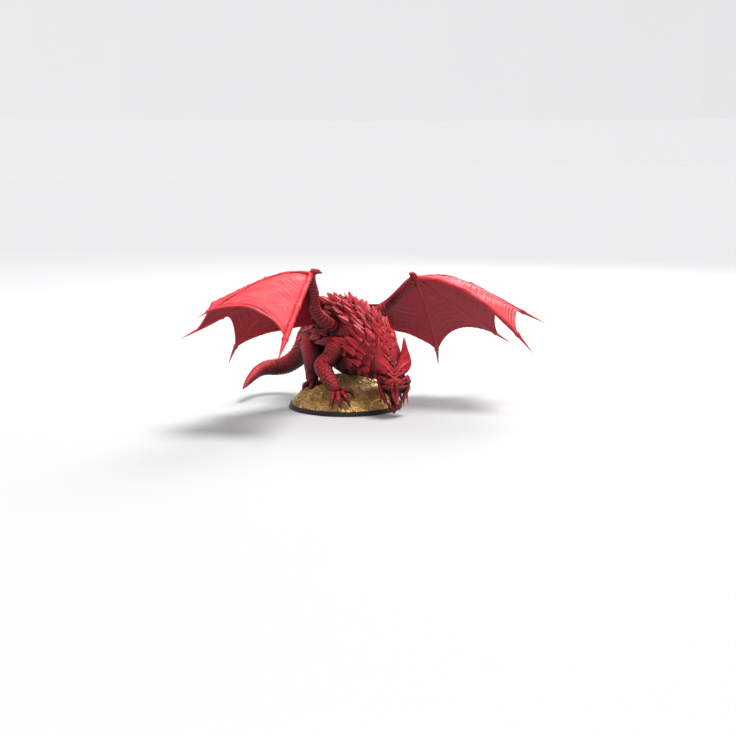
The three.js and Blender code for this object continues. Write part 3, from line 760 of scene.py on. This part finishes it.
def chest_relief(t, angle, p):
    return 1.0 * bands(t * 6.5) * smooth(-np.cos(angle), -0.2, 0.4) + 0.35 * scales(t * 17,
        angle / (2 * math.pi) * 26) + 0.6 * wobble(p)


def make_body():
    trunk = [loft(torso_spine, 230, 180, torso_relief, *TORSO_FLATTEN, (0.12, 0.08)),
        loft(Spine(CHEST), 120, 110, chest_relief, 1.0, 1.0, (0.2, 0.25))]
    piece("torso_skin", joined(trunk), "figure", HIDE, ["torso"])
    piece("neck_skin", loft(neck_spine, 220, 180, neck_relief, *NECK_FLATTEN, (0.05, 0.1)), "figure", HIDE,
        ["neck"])
    piece("tail_skin", loft(tail_spine, 420, 120, tail_relief, 1.0, 1.0, (0.03, 0.004)), "figure", HIDE,
        ["tail_base", "tail_tip"])


make_body()


def plate_places(spine, count, start, end, reach, width, length, lift, seed, first_angle=0.0):
    """Places for plates in rings along a spine, staggered round it: [t, angle, width, length, lift]."""
    r = np.random.default_rng(seed)
    places = []
    for i, t in enumerate(np.linspace(start, end, count)):
        _, radius, *_ = spine.frames(np.array(t))
        gap = width(t) * 0.74 / float(radius)
        most = int(reach / gap)
        for k in range(-most, most + 1):
            angle = (k + 0.5 * (i % 2)) * gap + r.normal(0, 0.05)
            if first_angle <= abs(angle) <= reach:
                grow = r.uniform(0.82, 1.22)
                places.append([t + r.normal(0, 0.18) * (end - start) / count, angle, width(t) * grow,
                    length(t) * grow * r.uniform(0.9, 1.1),
                               lift + r.normal(0, 0.08)])
    return np.array(places)


def plated(spine, flatten, places, seed, keep):
    """Plates on a spine's skin, their free ends pointing back towards its start."""
    r = np.random.default_rng(seed)
    across, upright = flatten
    t, angle, width, length, lift = places.T
    centre, radius, along, side, top = spine.frames(t)
    out = side * (np.sin(angle) * across)[:, None] + top * (np.cos(angle) * upright)[:, None]
    root = centre + out * radius[:, None]
    normal = unit(side * (np.sin(angle) / across)[:, None] + top * (np.cos(angle) / upright)[:, None])
    back = unit(-along - (-along * normal).sum(-1, keepdims=True) * normal + r.normal(0, 0.1, (len(t), 3)))
    y_axis = unit(back * np.cos(lift)[:, None] + normal * np.sin(lift)[:, None])
    x_axis = unit(np.cross(y_axis, normal))
    z_axis = np.cross(x_axis, y_axis)
    sizes = np.stack([width, length, width * 0.72], -1)
    root = root + normal * (2.0 * smooth(np.abs(angle), 1.4, 2.0) - 0.1)[:, None]
    ok = keep(root) & keep(root + y_axis * (0.9 * length)[:, None])
    return scattered(plate_template(), root[ok], x_axis[ok], y_axis[ok], z_axis[ok], sizes[ok])


def clear_of_wings(root):
    """Plates that would stand in a wing's arm are left out."""
    ok = np.ones(len(root), bool)
    for wing in WINGS.values():
        shoulder, elbow = np.array(wing["shoulder"], float), np.array(wing["elbow"], float)
        ok &= capsule(root, shoulder - (elbow - shoulder) * 0.3, elbow, ARM_CLEARANCE, ARM_CLEARANCE) > 0
    return ok


def make_plates():
    back = plate_places(torso_spine, 11, 0.95, 0.10, 1.2, lambda t: 6.2, lambda t: 11.0, 0.36, 21)
    hips = plate_places(torso_spine, 9, 0.92, 0.10, 2.2, lambda t: 8.0, lambda t: 12.5, 0.18, 23, 1.1)
    piece("back_plates", plated(torso_spine, TORSO_FLATTEN, np.vstack([back, hips]), 24, clear_of_wings),
        "figure", PLATE, crisp=28)
    crest = plate_places(neck_spine, 10, 0.92, 0.05, 0.9, lambda t: 5.6 - 1.6 * t, lambda t: 12.0 - 3 * t,
        0.32, 22)
    flank = plate_places(neck_spine, 8, 0.95, 0.04, 2.05, lambda t: 9.8 - 4.4 * t, lambda t: 15.5 - 6 * t,
        0.16, 25, 0.75)
    throat = plate_places(neck_spine, 8, 0.95, 0.05, 2.95, lambda t: 10.0 - 4 * t, lambda t: 13.0 - 5 * t,
        0.16, 26, 1.95)
    piece("neck_plates", plated(neck_spine, NECK_FLATTEN, np.vstack([crest, flank, throat]), 27,
        clear_of_wings), "figure", PLATE, crisp=28)

    ridge = []
    for spine, lift, start, end, count, size in ((torso_spine, TORSO_FLATTEN[1], 0.9, 0.02, 10, 10.5),
        (neck_spine, NECK_FLATTEN[1], 0.8, 0.1, 7, 6.5)):
        t = np.linspace(start, end, count)
        centre, radius, along, side, top = spine.frames(t)
        for turn in (-0.32, 0.0, 0.32):
            root = centre + (top * math.cos(turn) * lift + side * math.sin(turn)) * (radius - 1.0)[:, None]
            height = size * rng.uniform(0.6, 1.15, count) * (1.0 if turn == 0 else 0.75)
            tip = root + unit(top * 0.85 + side * math.sin(turn) - along * 0.6) * height[:, None]
            ridge.append(spikes(root, tip, height * 0.34, 0.5))
    for t, turn, height in ((0.34, -0.55, 9.0), (0.40, -0.7, 10.5), (0.46, -0.5, 9.5), (0.5, -0.75, 8.5),
        (0.56, -0.6, 8.0), (0.6, -0.8, 7.5), (0.44, -0.9, 8.0),
                            (0.52, -0.95, 7.0)):
        centre, radius, along, side, top = torso_spine.frames(np.array([t]))
        away = top * math.cos(turn) - side * math.sin(turn)
        root = centre + away * (radius - 1.0)[:, None] * 1.05
        ridge.append(spikes(root, root + unit(away + 0.5 * top - 0.3 * along) * height, height * 0.42,
            0.45))
    t = np.linspace(0.06, 0.95, 34)
    centre, radius, along, side, top = tail_spine.frames(t)
    root = centre + top * (radius - 0.5)[:, None]
    height = np.maximum(6.0 * (1 - t) ** 0.8, 1.0)
    ridge.append(spikes(root, root + unit(top * 0.8 + along * 0.8) * height[:, None], height * 0.5, 0.6))
    for turn in (-0.7, 0.7):
        root = centre[:14] + (top * math.cos(turn) + side * math.sin(turn))[:14] * (radius - 0.4)[:14, None]
        ridge.append(spikes(root, root + unit(top * 0.6 + side * math.sin(turn) + along * 1.0)[:14]
            * height[:14, None] * 0.7, height[:14] * 0.5, 0.7))
    piece("back_spines", joined(ridge), "figure", PLATE, crisp=28)


make_plates()

# ---------- Legs ----------

KNEE_AT = 0.5  # how far along a leg its big scales begin
TOE_RADII = (2.7, 2.0, 0.2)


def leg_relief(spine):
    """Wavy bands on the upper limb, and rows of square scales down the front of the lower one."""

    def relief(t, angle, p):
        s = t * spine.length
        front = smooth(np.cos(angle), -0.3, 0.3)
        lower = smooth(t, KNEE_AT - 0.06, KNEE_AT + 0.06)
        beads = scales(s / 2.4, angle / (2 * math.pi) * 11, 0.34)
        waves = bands(s / 2.3 + 0.35 * np.sin(angle * 2 + 0.8))
        small = scales(s / 1.7, angle / (2 * math.pi) * 20, 0.3)
        return front * (lower * 0.95 * beads + (1 - lower) * (0.3 * waves + 0.4 * small)) + (1
            - front) * 0.45 * small + 0.55 * wobble(p)

    return relief


def toe(points, claw_from=0.62):
    """A segmented toe that ends in a long smooth claw."""
    line = [[*p, r] for p, r in zip(points, TOE_RADII)]
    middle = (np.array(line[0]) + np.array(line[1])) / 2
    spine = Spine([line[0], middle.tolist(), line[1], line[2]], up=(0.3, 0.2, 1))

    def relief(t, angle, p):
        knuckles = 0.5 * bands(t * 9) * (1 - smooth(t, claw_from - 0.1, claw_from))
        cuff = 0.5 * np.exp(-((t - claw_from) / 0.035) ** 2)
        return knuckles * smooth(np.cos(angle), -0.5, 0.4) + cuff

    return loft(spine, 90, 32, relief, 1.0, 1.0, (0.1, 0.01))


def make_leg(name):
    data = LEGS[name]
    spine = Spine(data["limb"], up=(0, -1, 0.2))
    shapes = [loft(spine, 240, 110, leg_relief(spine), 1.0, 1.0, (0.08, 0.12))]
    for points in data["toes"]:
        shapes.append(toe(points))
    t = np.linspace(0.34, 0.9, 8)
    centre, radius, along, side, top = spine.frames(t)
    root = centre - top * (radius - 0.6)[:, None]
    shapes.append(spikes(root, root + unit(-top * 0.7 - along * 0.7) * 3.6, 2.0))
    piece(name + "_skin", joined(shapes), "figure", HIDE, [name])


for leg_name in LEGS:
    make_leg(leg_name)

# ---------- Head, in its own frame: -Y forward, origin between the eyes ----------


def on_head(shape):
    vertices, quads, triangles = shape
    c, s = math.cos(HEAD_TURN), math.sin(HEAD_TURN)
    turn = np.array([[c, -s, 0], [s, c, 0], [0, 0, 1]])
    return vertices @ turn.T + HEAD_AT, quads, triangles


head_wobble = Noise(3.0, 41)


def skull_field(p):
    q = p.copy()
    q[..., 0] = np.abs(q[..., 0])
    d = ellipsoid(q, (0, 7, 3.5), (9.6, 11, 9))
    d = blend(d, capsule(q, (0, 3, 1.5), (0, -11, -6.2), 8.4, 4.6), 3.0)
    d = blend(d, ellipsoid(q, (3.2, -9.0, -7.2), (4.6, 6.6, 3.8)), 2.0)
    d = blend(d, capsule(q, (7, -3.5, -4.5), (11.2, 1.5, -8), 3.0, 3.4), 2.2)
    for low, mid, high, r in (((0.9, -13.2, -3.2), (4.6, -10.6, -0.4), (10.6, -4.4, 3.0), 1.25),
        ((0.8, -11.6, -0.6), (3.6, -9.4, 2.4), (9.0, -3.2, 6.4), 1.15),
                              ((0.6, -9.2, 2.4), (2.8, -7.0, 5.0), (6.6, -0.6, 9.0), 1.05),
                              ((3.4, -13.0, -5.6), (7.4, -9.8, -4.8), (12.0, -3.0, -3.0), 1.25),
                              ((2.6, -14.2, -8.0), (6.6, -11.0, -7.8), (11.6, -3.4, -7.4), 0.95),
                              ((1.6, -15.6, -10.4), (6.6, -11.6, -10.6), (11.4, -2.6, -11.2), 1.2)):
        d = blend(d, capsule(q, low, mid, r, r * 1.1), 0.6)
        d = blend(d, capsule(q, mid, high, r * 1.1, r * 0.55), 0.6)
    d = carve(d, capsule(q, (3.2, -13.6, -2.9), (8.2, -9.6, -2.1), 0.95, 1.1), 0.4)
    for z, reach in ((-3.6, 1.8), (-5.0, 2.2), (-6.3, 2.5)):
        d = blend(d, capsule(q, (0, -13.6 + (z + 3.6) * 0.45, z + 0.5),
            (reach, -13.2 + (z + 3.6) * 0.45, z - 0.3), 0.75, 0.4), 0.4)
    d = blend(d, capsule(q, (1.5, -15.6, -8.4), (2.8, -14.2, -7.2), 1.15, 0.9), 0.6)
    d = carve(d, capsule(q, (2.2, -16.0, -7.2), (3.3, -14.4, -6.4), 0.25, 0.2), 0.3)
    d = carve(d, ellipsoid(q, (0, -8.5, -16.6), (8.2, 9.5, 6.0)), 0.8)
    return d + 0.2 * head_wobble(p)


def jaw_field(p):
    q = p.copy()
    q[..., 0] = np.abs(q[..., 0])
    d = capsule(q, (11.0, 3.5, -7.5), (11.2, 0.2, -15), 2.6, 2.0)
    d = blend(d, capsule(q, (11.2, 0.2, -15), (8.2, -3.4, -21.5), 2.0, 1.8), 1.0)
    d = blend(d, capsule(q, (8.2, -3.4, -21.5), (3.2, -7.0, -28.0), 1.9, 1.6), 1.0)
    d = blend(d, capsule(q, (3.2, -7.0, -28.0), (0.2, -8.6, -34.2), 1.7, 0.35), 1.0)
    d = blend(d, capsule(q, (0, -6.2, -28.5), (0, -8.4, -33.0), 1.8, 0.6), 1.2)
    d = blend(d, ellipsoid(q, (0, 4.4, -14), (11.0, 4.0, 7.5)), 1.6)
    d = blend(d, capsule(q, (0, 2.2, -18), (0, -3.6, -26.5), 5.6, 2.6), 1.6)
    d = carve(d, ellipsoid(q, (0, -5.4, -18.4), (7.2, 5.6, 9.4)), 0.7)
    return d + 0.18 * head_wobble(p)


# Each frill horn's outer and inner edge seen from the front, from the brow round the fan to its point.
FRILLS = {
    "left": (1, [[7.6, -1.5], [12, 1.4], [14.4, 6.2], [14.2, 11], [12.9, 15.5], [11.2, 20.5], [9.8, 25],
        [8.6, 29]],
             [[1.0, -2.5], [1.4, 2.5], [3.2, 8.5], [4.6, 12.5], [5.6, 16], [6.6, 20], [7.6, 24.5],
                 [8.4, 28.6]]),
    "right": (-1, [[7.4, -1.5], [12.2, 1.6], [15.4, 6.6], [16, 11.5], [15.4, 16.5], [14.2, 21],
        [13.6, 25.5], [13.4, 29.5]],
              [[1.0, -2.5], [1.6, 2.5], [3.8, 8], [6.6, 12], [8.6, 16], [10.2, 20], [11.6, 24.5],
                  [13.0, 29.1]]),
}
FRILL_HUB = np.array([0.6, 0.0])


def frill(label):
    """The broad ear-shaped horn: a fan with ribs that spread from the brow, narrowing to a point."""
    side, outline_out, outline_in = FRILLS[label]
    rows, columns = 130, 70
    v = np.linspace(0, 1, rows)[:, None]
    u = np.linspace(0, 1, columns)[None]
    outer, inner = catmull(outline_out, v[:, 0]), catmull(outline_in, v[:, 0])
    flat = inner[:, None] * (1 - u[..., None]) + outer[:, None] * u[..., None]
    spread = flat - FRILL_HUB
    angle, reach = np.arctan2(spread[..., 1], spread[..., 0]), np.linalg.norm(spread, axis=-1)
    fan = 1 - smooth(v, 0.5, 0.8)
    ribs = (0.5 - 0.95 * np.abs(np.sin(angle * 8.5 + 0.06 * reach)) ** 0.5) * fan * smooth(reach, 2.5,
        7) * (1 - 0.6 * smooth(u, 0.9, 1))
    grooves = 0.35 * np.sin(u * 2 * math.pi * 2.5 + v * 2) * (1 - fan)
    rim = 0.55 * np.exp(-((1 - u) / 0.05) ** 2)
    cup = -9.5 + 7.0 * smooth(reach, 0, 17) + 8.0 * v**2 + 1.8 * (2 * u - 1) ** 2 * fan
    top = np.stack([side * flat[..., 0], cup - ribs * 0.75 - grooves - rim, flat[..., 1]], -1)
    edge = np.minimum(np.minimum(u, 1 - u) * 8, 1)
    thick = (0.7 + 1.8 * edge * (0.3 + 0.7 * (1 - v))) * np.minimum((1 - v) * 10 + 0.15, 1)
    return sheet(top if side > 0 else top[:, ::-1], thick if side > 0 else thick[:, ::-1])


def make_head():
    piece("skull", on_head(sculpt(skull_field, (-17, -21, -17), (17, 21, 15), HEAD_VOXEL)), "figure", HIDE,
        ["head"])
    piece("mandible", on_head(sculpt(jaw_field, (-16, -12, -37), (16, 11, -3), HEAD_VOXEL)), "figure", HIDE,
        ["lower_jaw"])
    for label in FRILLS:
        piece("frill_" + label, on_head(frill(label)), "figure", PLATE, ["horn_" + label],
            40)

    tongue = Spine([[0.6, 1, -12, 2.6], [0.9, -4.5, -15.5, 3.2], [1.4, -8.0, -20, 2.7],
        [2.0, -9.6, -26.5, 0.25]], up=(0, -1, 0))
    groove = lambda t, angle, p: -0.8 * np.exp(-(np.sin(angle / 2) / 0.16) ** 2) + 0.2 * fine_wobble(p)
    piece("tongue_flesh", on_head(loft(tongue, 80, 40, groove, 1.0, 0.5, (0.1, 0.02))), "figure", TONGUE,
        ["tongue"])

    roots, tips, widths = [], [], []
    for side in (-1, 1):
        for x, y, z, length in ((0.9, -15.6, -11.0, 2.4), (2.4, -15.0, -11.0, 4.6),
            (4.2, -13.4, -11.2, 3.0), (5.8, -11.8, -11.3, 3.8), (7.4, -9.6, -11.4, 2.8),
                                (8.8, -7.2, -11.6, 2.4), (10.0, -4.8, -11.8, 1.9)):
            roots.append((side * x, y, z + 0.6))
            tips.append((side * x * 0.97, y - 0.2, z - length * 0.72))
            widths.append(1.2)
        for x, y, z, length in ((2.6, -8.8, -28.6, 3.0), (4.4, -7.6, -26.6, 4.2), (6.2, -6.2, -24.0, 3.0),
            (7.8, -4.8, -21.6, 2.6), (9.2, -3.2, -19.0, 2.2), (10.2, -1.6, -16.4, 1.8)):
            roots.append((side * x, y + 0.3, z - 0.3))
            tips.append((side * x * 0.92, y - 1.3, z + length))
            widths.append(1.25)
    piece("teeth", on_head(spikes(roots, tips, widths)), "figure", TONGUE, crisp=40)

    roots, tips, widths = [], [], []
    for side in (-1, 1):
        for root, tip, width in (((10.6, 0.2, -15), (11.6, -2.4, -27.6), 3.4),
            ((8.4, -2.6, -21), (8.2, -5.0, -28.6), 2.6), ((11.8, 3.2, -8), (14.0, 2.6, -16), 3.0),
                                 ((11.0, 1, -3.4), (14.6, 2.0, -8.5), 2.8), ((4.6, -6.8, -29.5),
                                     (5.2, -8.2, -33), 1.6), ((1.4, -4, 6.6), (2.2, 1.5, 13.0), 2.2),
                                 ((3.6, -2.4, 8.0), (5.4, 4.0, 14.8), 2.5), ((0.7, -10.4, 1.4),
                                     (1.0, -8.8, 6.0), 1.5), ((6.0, 1.6, 9.0), (8.4, 8.0, 15.4), 2.5),
                                 ((2.6, 1.6, 10.4), (3.4, 8.2, 17.2), 2.6), ((5.2, -9.2, 1.2),
                                     (7.4, -9.8, 4.6), 1.5), ((8.6, -5.2, 3.6), (11.6, -5.6, 6.4), 1.6),
                                 ((11.6, -3.6, -3.0), (14.2, -4.4, -4.6), 1.8),
                                 ((0.9, -14.6, -5.4), (1.0, -16.2, -3.8), 1.0)):
            roots.append((side * root[0], root[1], root[2]))
            tips.append((side * tip[0], tip[1], tip[2]))
            widths.append(width)
    for y, z, length in ((-11.4, -0.6, 3.0), (-8.8, 2.6, 4.2), (-5.6, 5.8, 5.4), (-2, 8.6, 6.2),
        (2, 10.8, 6.6)):
        roots.append((0, y, z))
        tips.append((0, y + length * 0.5, z + length))
        widths.append(length * 0.36)
    piece("head_spikes", on_head(spikes(roots, tips, widths, 0.8)), "figure", PLATE,
        crisp=28)
    eyes = [loft(Spine([[side * 5.0, -11.7, -2.9, 1.0], [side * 6.6, -10.6, -2.5, 1.0]], up=(0, 0.2, 1)),
        24, 24, None, 1, 1, (0.5, 0.5)) for side in (-1, 1)]
    piece("eyes", on_head(joined(eyes)), "figure", MOUTH)


make_head()

# ---------- Wings ----------

WEB_THICKNESS = 0.9
web_wobble = Noise(22, 51)


def finger_curve(wing, index, radii=(2.3, 1.35, 1.15, 1.15, 1.6, 0.2)):
    wrist, tip = np.array(wing["wrist"], float), np.array(wing["tips"][index], float)
    outwards, backwards, upwards, late = wing["bows"][index]
    t = np.linspace(0, 1, len(radii))
    swell = (4 * t * (1 - t) * (1 + late * (t - 0.5)))[:, None]
    points = wrist + (tip - wrist) * t[:, None] + swell * np.array([wing["side"] * outwards, backwards,
        upwards])
    return np.column_stack([points, radii])


def inner_curve(wing):
    wrist, back = np.array(wing["wrist"], float), np.array(wing["back"], float)
    edge = (wrist + back) / 2 - [0, 0, wing["sag"]]
    return np.array([wrist, edge, back, wing["flank"]], float)


def web(wing, index):
    """The web between two fingers, or between the last finger and the flank, with its folds."""
    curves = [finger_curve(wing, i)[:, :3] for i in range(4)] + [inner_curve(wing)]
    first, second = curves[index], curves[index + 1]
    rows, columns = 190, 130
    v = np.linspace(0, 1, rows)[:, None]
    u = np.linspace(0, 1, columns)[None]
    first_end, second_end, scallop = wing["webs"][index]
    arc = (4 * u * (1 - u)) ** 0.75
    edge = first_end + (second_end - first_end) * u - scallop * arc
    cusp = 0.03 * ((1 - u) ** 14 + (u**14 if index < 3 else 0))
    t = 0.02 + v * (edge + cusp - 0.02)
    a, b = catmull(first, t), catmull(second, t)
    p = a + (b - a) * u[..., None]
    billow = np.sin(math.pi * u)
    wander = 0.9 * np.sin(u * 4.3 + 1.3 * index) + 0.5 * np.sin(u * 9.1 + 2 * v)
    strength = 0.55 + 0.45 * np.sin(v * 11 + u * 5 + index)
    wrinkles = np.sin(v * 2 * math.pi * 19 + 2.2 * wander) * 0.6 + np.sin(v * 2 * math.pi * 33 + 4.1
        * wander + 5 * u) * 0.4
    if index == 0:
        folds = 0.36 * wrinkles * strength * smooth(u, 0.02, 0.2) * (1 - smooth(u, 0.75, 1))
        folds += 0.8 * np.sin((v - 0.45 * u) * 2 * math.pi * 3.2 + 0.6) * billow * v
        folds -= 0.6 * np.abs(np.sin(v * math.pi * 46
            + np.sin(v * 40))) ** 4 * np.exp(-(u / 0.07) ** 2) * smooth(v, 0.3, 0.5)
    else:
        ridges = 1 - 2 * np.abs(np.sin(v**1.4 * math.pi * 9 + 0.9 * wander)) ** 0.6
        folds = 0.3 * ridges * billow**0.7 * smooth(v, 0.12, 0.45)
        folds += 0.10 * wrinkles * billow
        folds += (0.16 * np.sin(u * 2 * math.pi * 13 + 6 * v + 2 * np.sin(v * 9)) * billow
            * smooth(v, 0.1, 0.4) * strength)
    folds += 0.3 * np.sin(v * 2 * math.pi * 34) * smooth(v, 0.86, 0.93) * (1 - smooth(v, 0.97, 1))
    p[..., 2] += WEB_BULGES[index] * 4 * u * (1 - u) * t
    p[..., 2] += folds + 0.5 * web_wobble(p) * billow
    hem = 1 + 0.5 * smooth(v, 0.975, 0.99)
    top = p[:, ::-1] if wing["side"] > 0 else p
    return sheet(top, WEB_THICKNESS * hem * np.ones((rows, columns)))


def finger(wing, index):
    line = (finger_curve(wing, index, (2.5, 2.6, 2.5, 2.5, 2.2, 0.2)) if index == 0
        else finger_curve(wing, index))
    spine = Spine(line, up=(0, 0, 1))
    knuckle = wing["webs"][index][0]

    def relief(t, angle, p):
        joints = 0.7 * np.exp(-((t - knuckle - 0.02) / 0.014) ** 2) + 0.45 * np.exp(-((t
            - 0.42) / 0.02) ** 2)
        return joints + (0.10 * fine_wobble(p) + 0.12 * np.sin(angle * 3 + t * 30)) * (1
            - smooth(t, knuckle, knuckle + 0.05))

    shapes = [loft(spine, 300, 36, relief, 1.0, 0.9, (0.01, 0.004))]
    if index == 0:
        t = np.linspace(0.1, 0.72, 10)
        centre, radius, along, side, top = spine.frames(t)
        forward = unit(np.array([-wing["side"] * 0.55, -0.7, 0.05]))
        root = centre + forward * (radius - 0.7)[:, None]
        size = rng.uniform(1.8, 3.0, len(t))
        shapes.append(spikes(root, root + unit(forward + along * 0.7) * size[:, None], 1.6, 0.7))
    else:
        centre, radius, along, side, top = spine.frames(np.array([0.42, knuckle]))
        root = centre + top * 0.6
        shapes.append(spikes(root, root + unit(top + along * 0.5) * 2.2, 1.6))
    return joined(shapes)


def arm(wing):
    shoulder, elbow, wrist = (np.array(wing[k], float) for k in ("shoulder", "elbow", "wrist"))
    root = shoulder - (elbow - shoulder) * 0.18
    line = [[*root, 5.2], [*shoulder, 5.2], [*elbow, 4.9], [*((elbow + wrist) / 2), 4.2], [*wrist, 3.3]]
    spine = Spine(line, up=(0, -1, 0.05))

    def relief(t, angle, p):
        s = t * spine.length
        front = smooth(np.cos(angle), -0.1, 0.5)
        wave = bands(s / 2.9 + 0.3 * np.sin(angle * 2 + 1.3) + 0.15 * np.sin(s / 9))
        return (0.42 * wave * (0.3 + 0.7 * front) + 0.4 * scales(s / 2.9, angle / (2 * math.pi) * 11, 0.3)
            + 0.6 * wobble(p))

    shapes = [loft(spine, 320, 80, relief, 1.0, 1.0, (0.04, 0.05))]
    elbow_out = unit(elbow - (shoulder + wrist) / 2)
    shapes.append(spikes([elbow + elbow_out * 3], [elbow + elbow_out * 8.5], [3.2]))
    if wing["side"] > 0:
        t = np.linspace(0.2, 0.42, 6)
        centre, radius, along, side, top = spine.frames(t)
        for turn, size in ((-1.5, 4.0), (-0.9, 5.0), (-0.2, 4.0)):
            away = top * math.cos(turn) - side * math.sin(turn)
            root = centre + away * (radius - 0.8)[:, None]
            shapes.append(spikes(root, root + unit(away + 0.5 * along)
                * (size * rng.uniform(0.6, 1.1, len(t)))[:, None], 2.8, 0.5))
    return joined(shapes)


def thumb(wing):
    wrist, tip = np.array(wing["wrist"], float), np.array(wing["thumb"], float)
    line = [[*wrist, 2.9], [*((wrist * 0.5 + tip * 0.5) + [0, 0, 1.6]), 2.4], [*tip, 0.2]]
    shapes = [loft(Spine(line), 80, 32, lambda t, angle, p: 0.4 * bands(t * 7) * (1 - smooth(t, 0.3, 0.45)),
        1, 1, (0.1, 0.02))]
    out = np.array([wing["side"], 0, 0])
    shapes.append(spikes([wrist + [0, 0, 1.8]], [wrist + out * -1.5 + [0, -1, 4.6]], [1.9]))
    return joined(shapes)


def make_wing(label):
    wing, body = WINGS[label], "wing_" + label
    prefix = body + "_"
    piece(prefix + "arm_skin", arm(wing), body, HIDE, [prefix + "arm"])
    piece(prefix + "thumb", thumb(wing), body, HIDE, [prefix + "thumb_claw"])
    for i in range(4):
        piece(f"{prefix}spar_{i + 1}", finger(wing, i), body, WEB,
            [f"{prefix}finger_{i + 1}"])
    for i, name in enumerate(("front", "outer", "rear", "inner")):
        piece(f"{prefix}membrane_{name}", web(wing, i), body, WEB, [f"{prefix}web_{name}"])


for wing_label in WINGS:
    make_wing(wing_label)
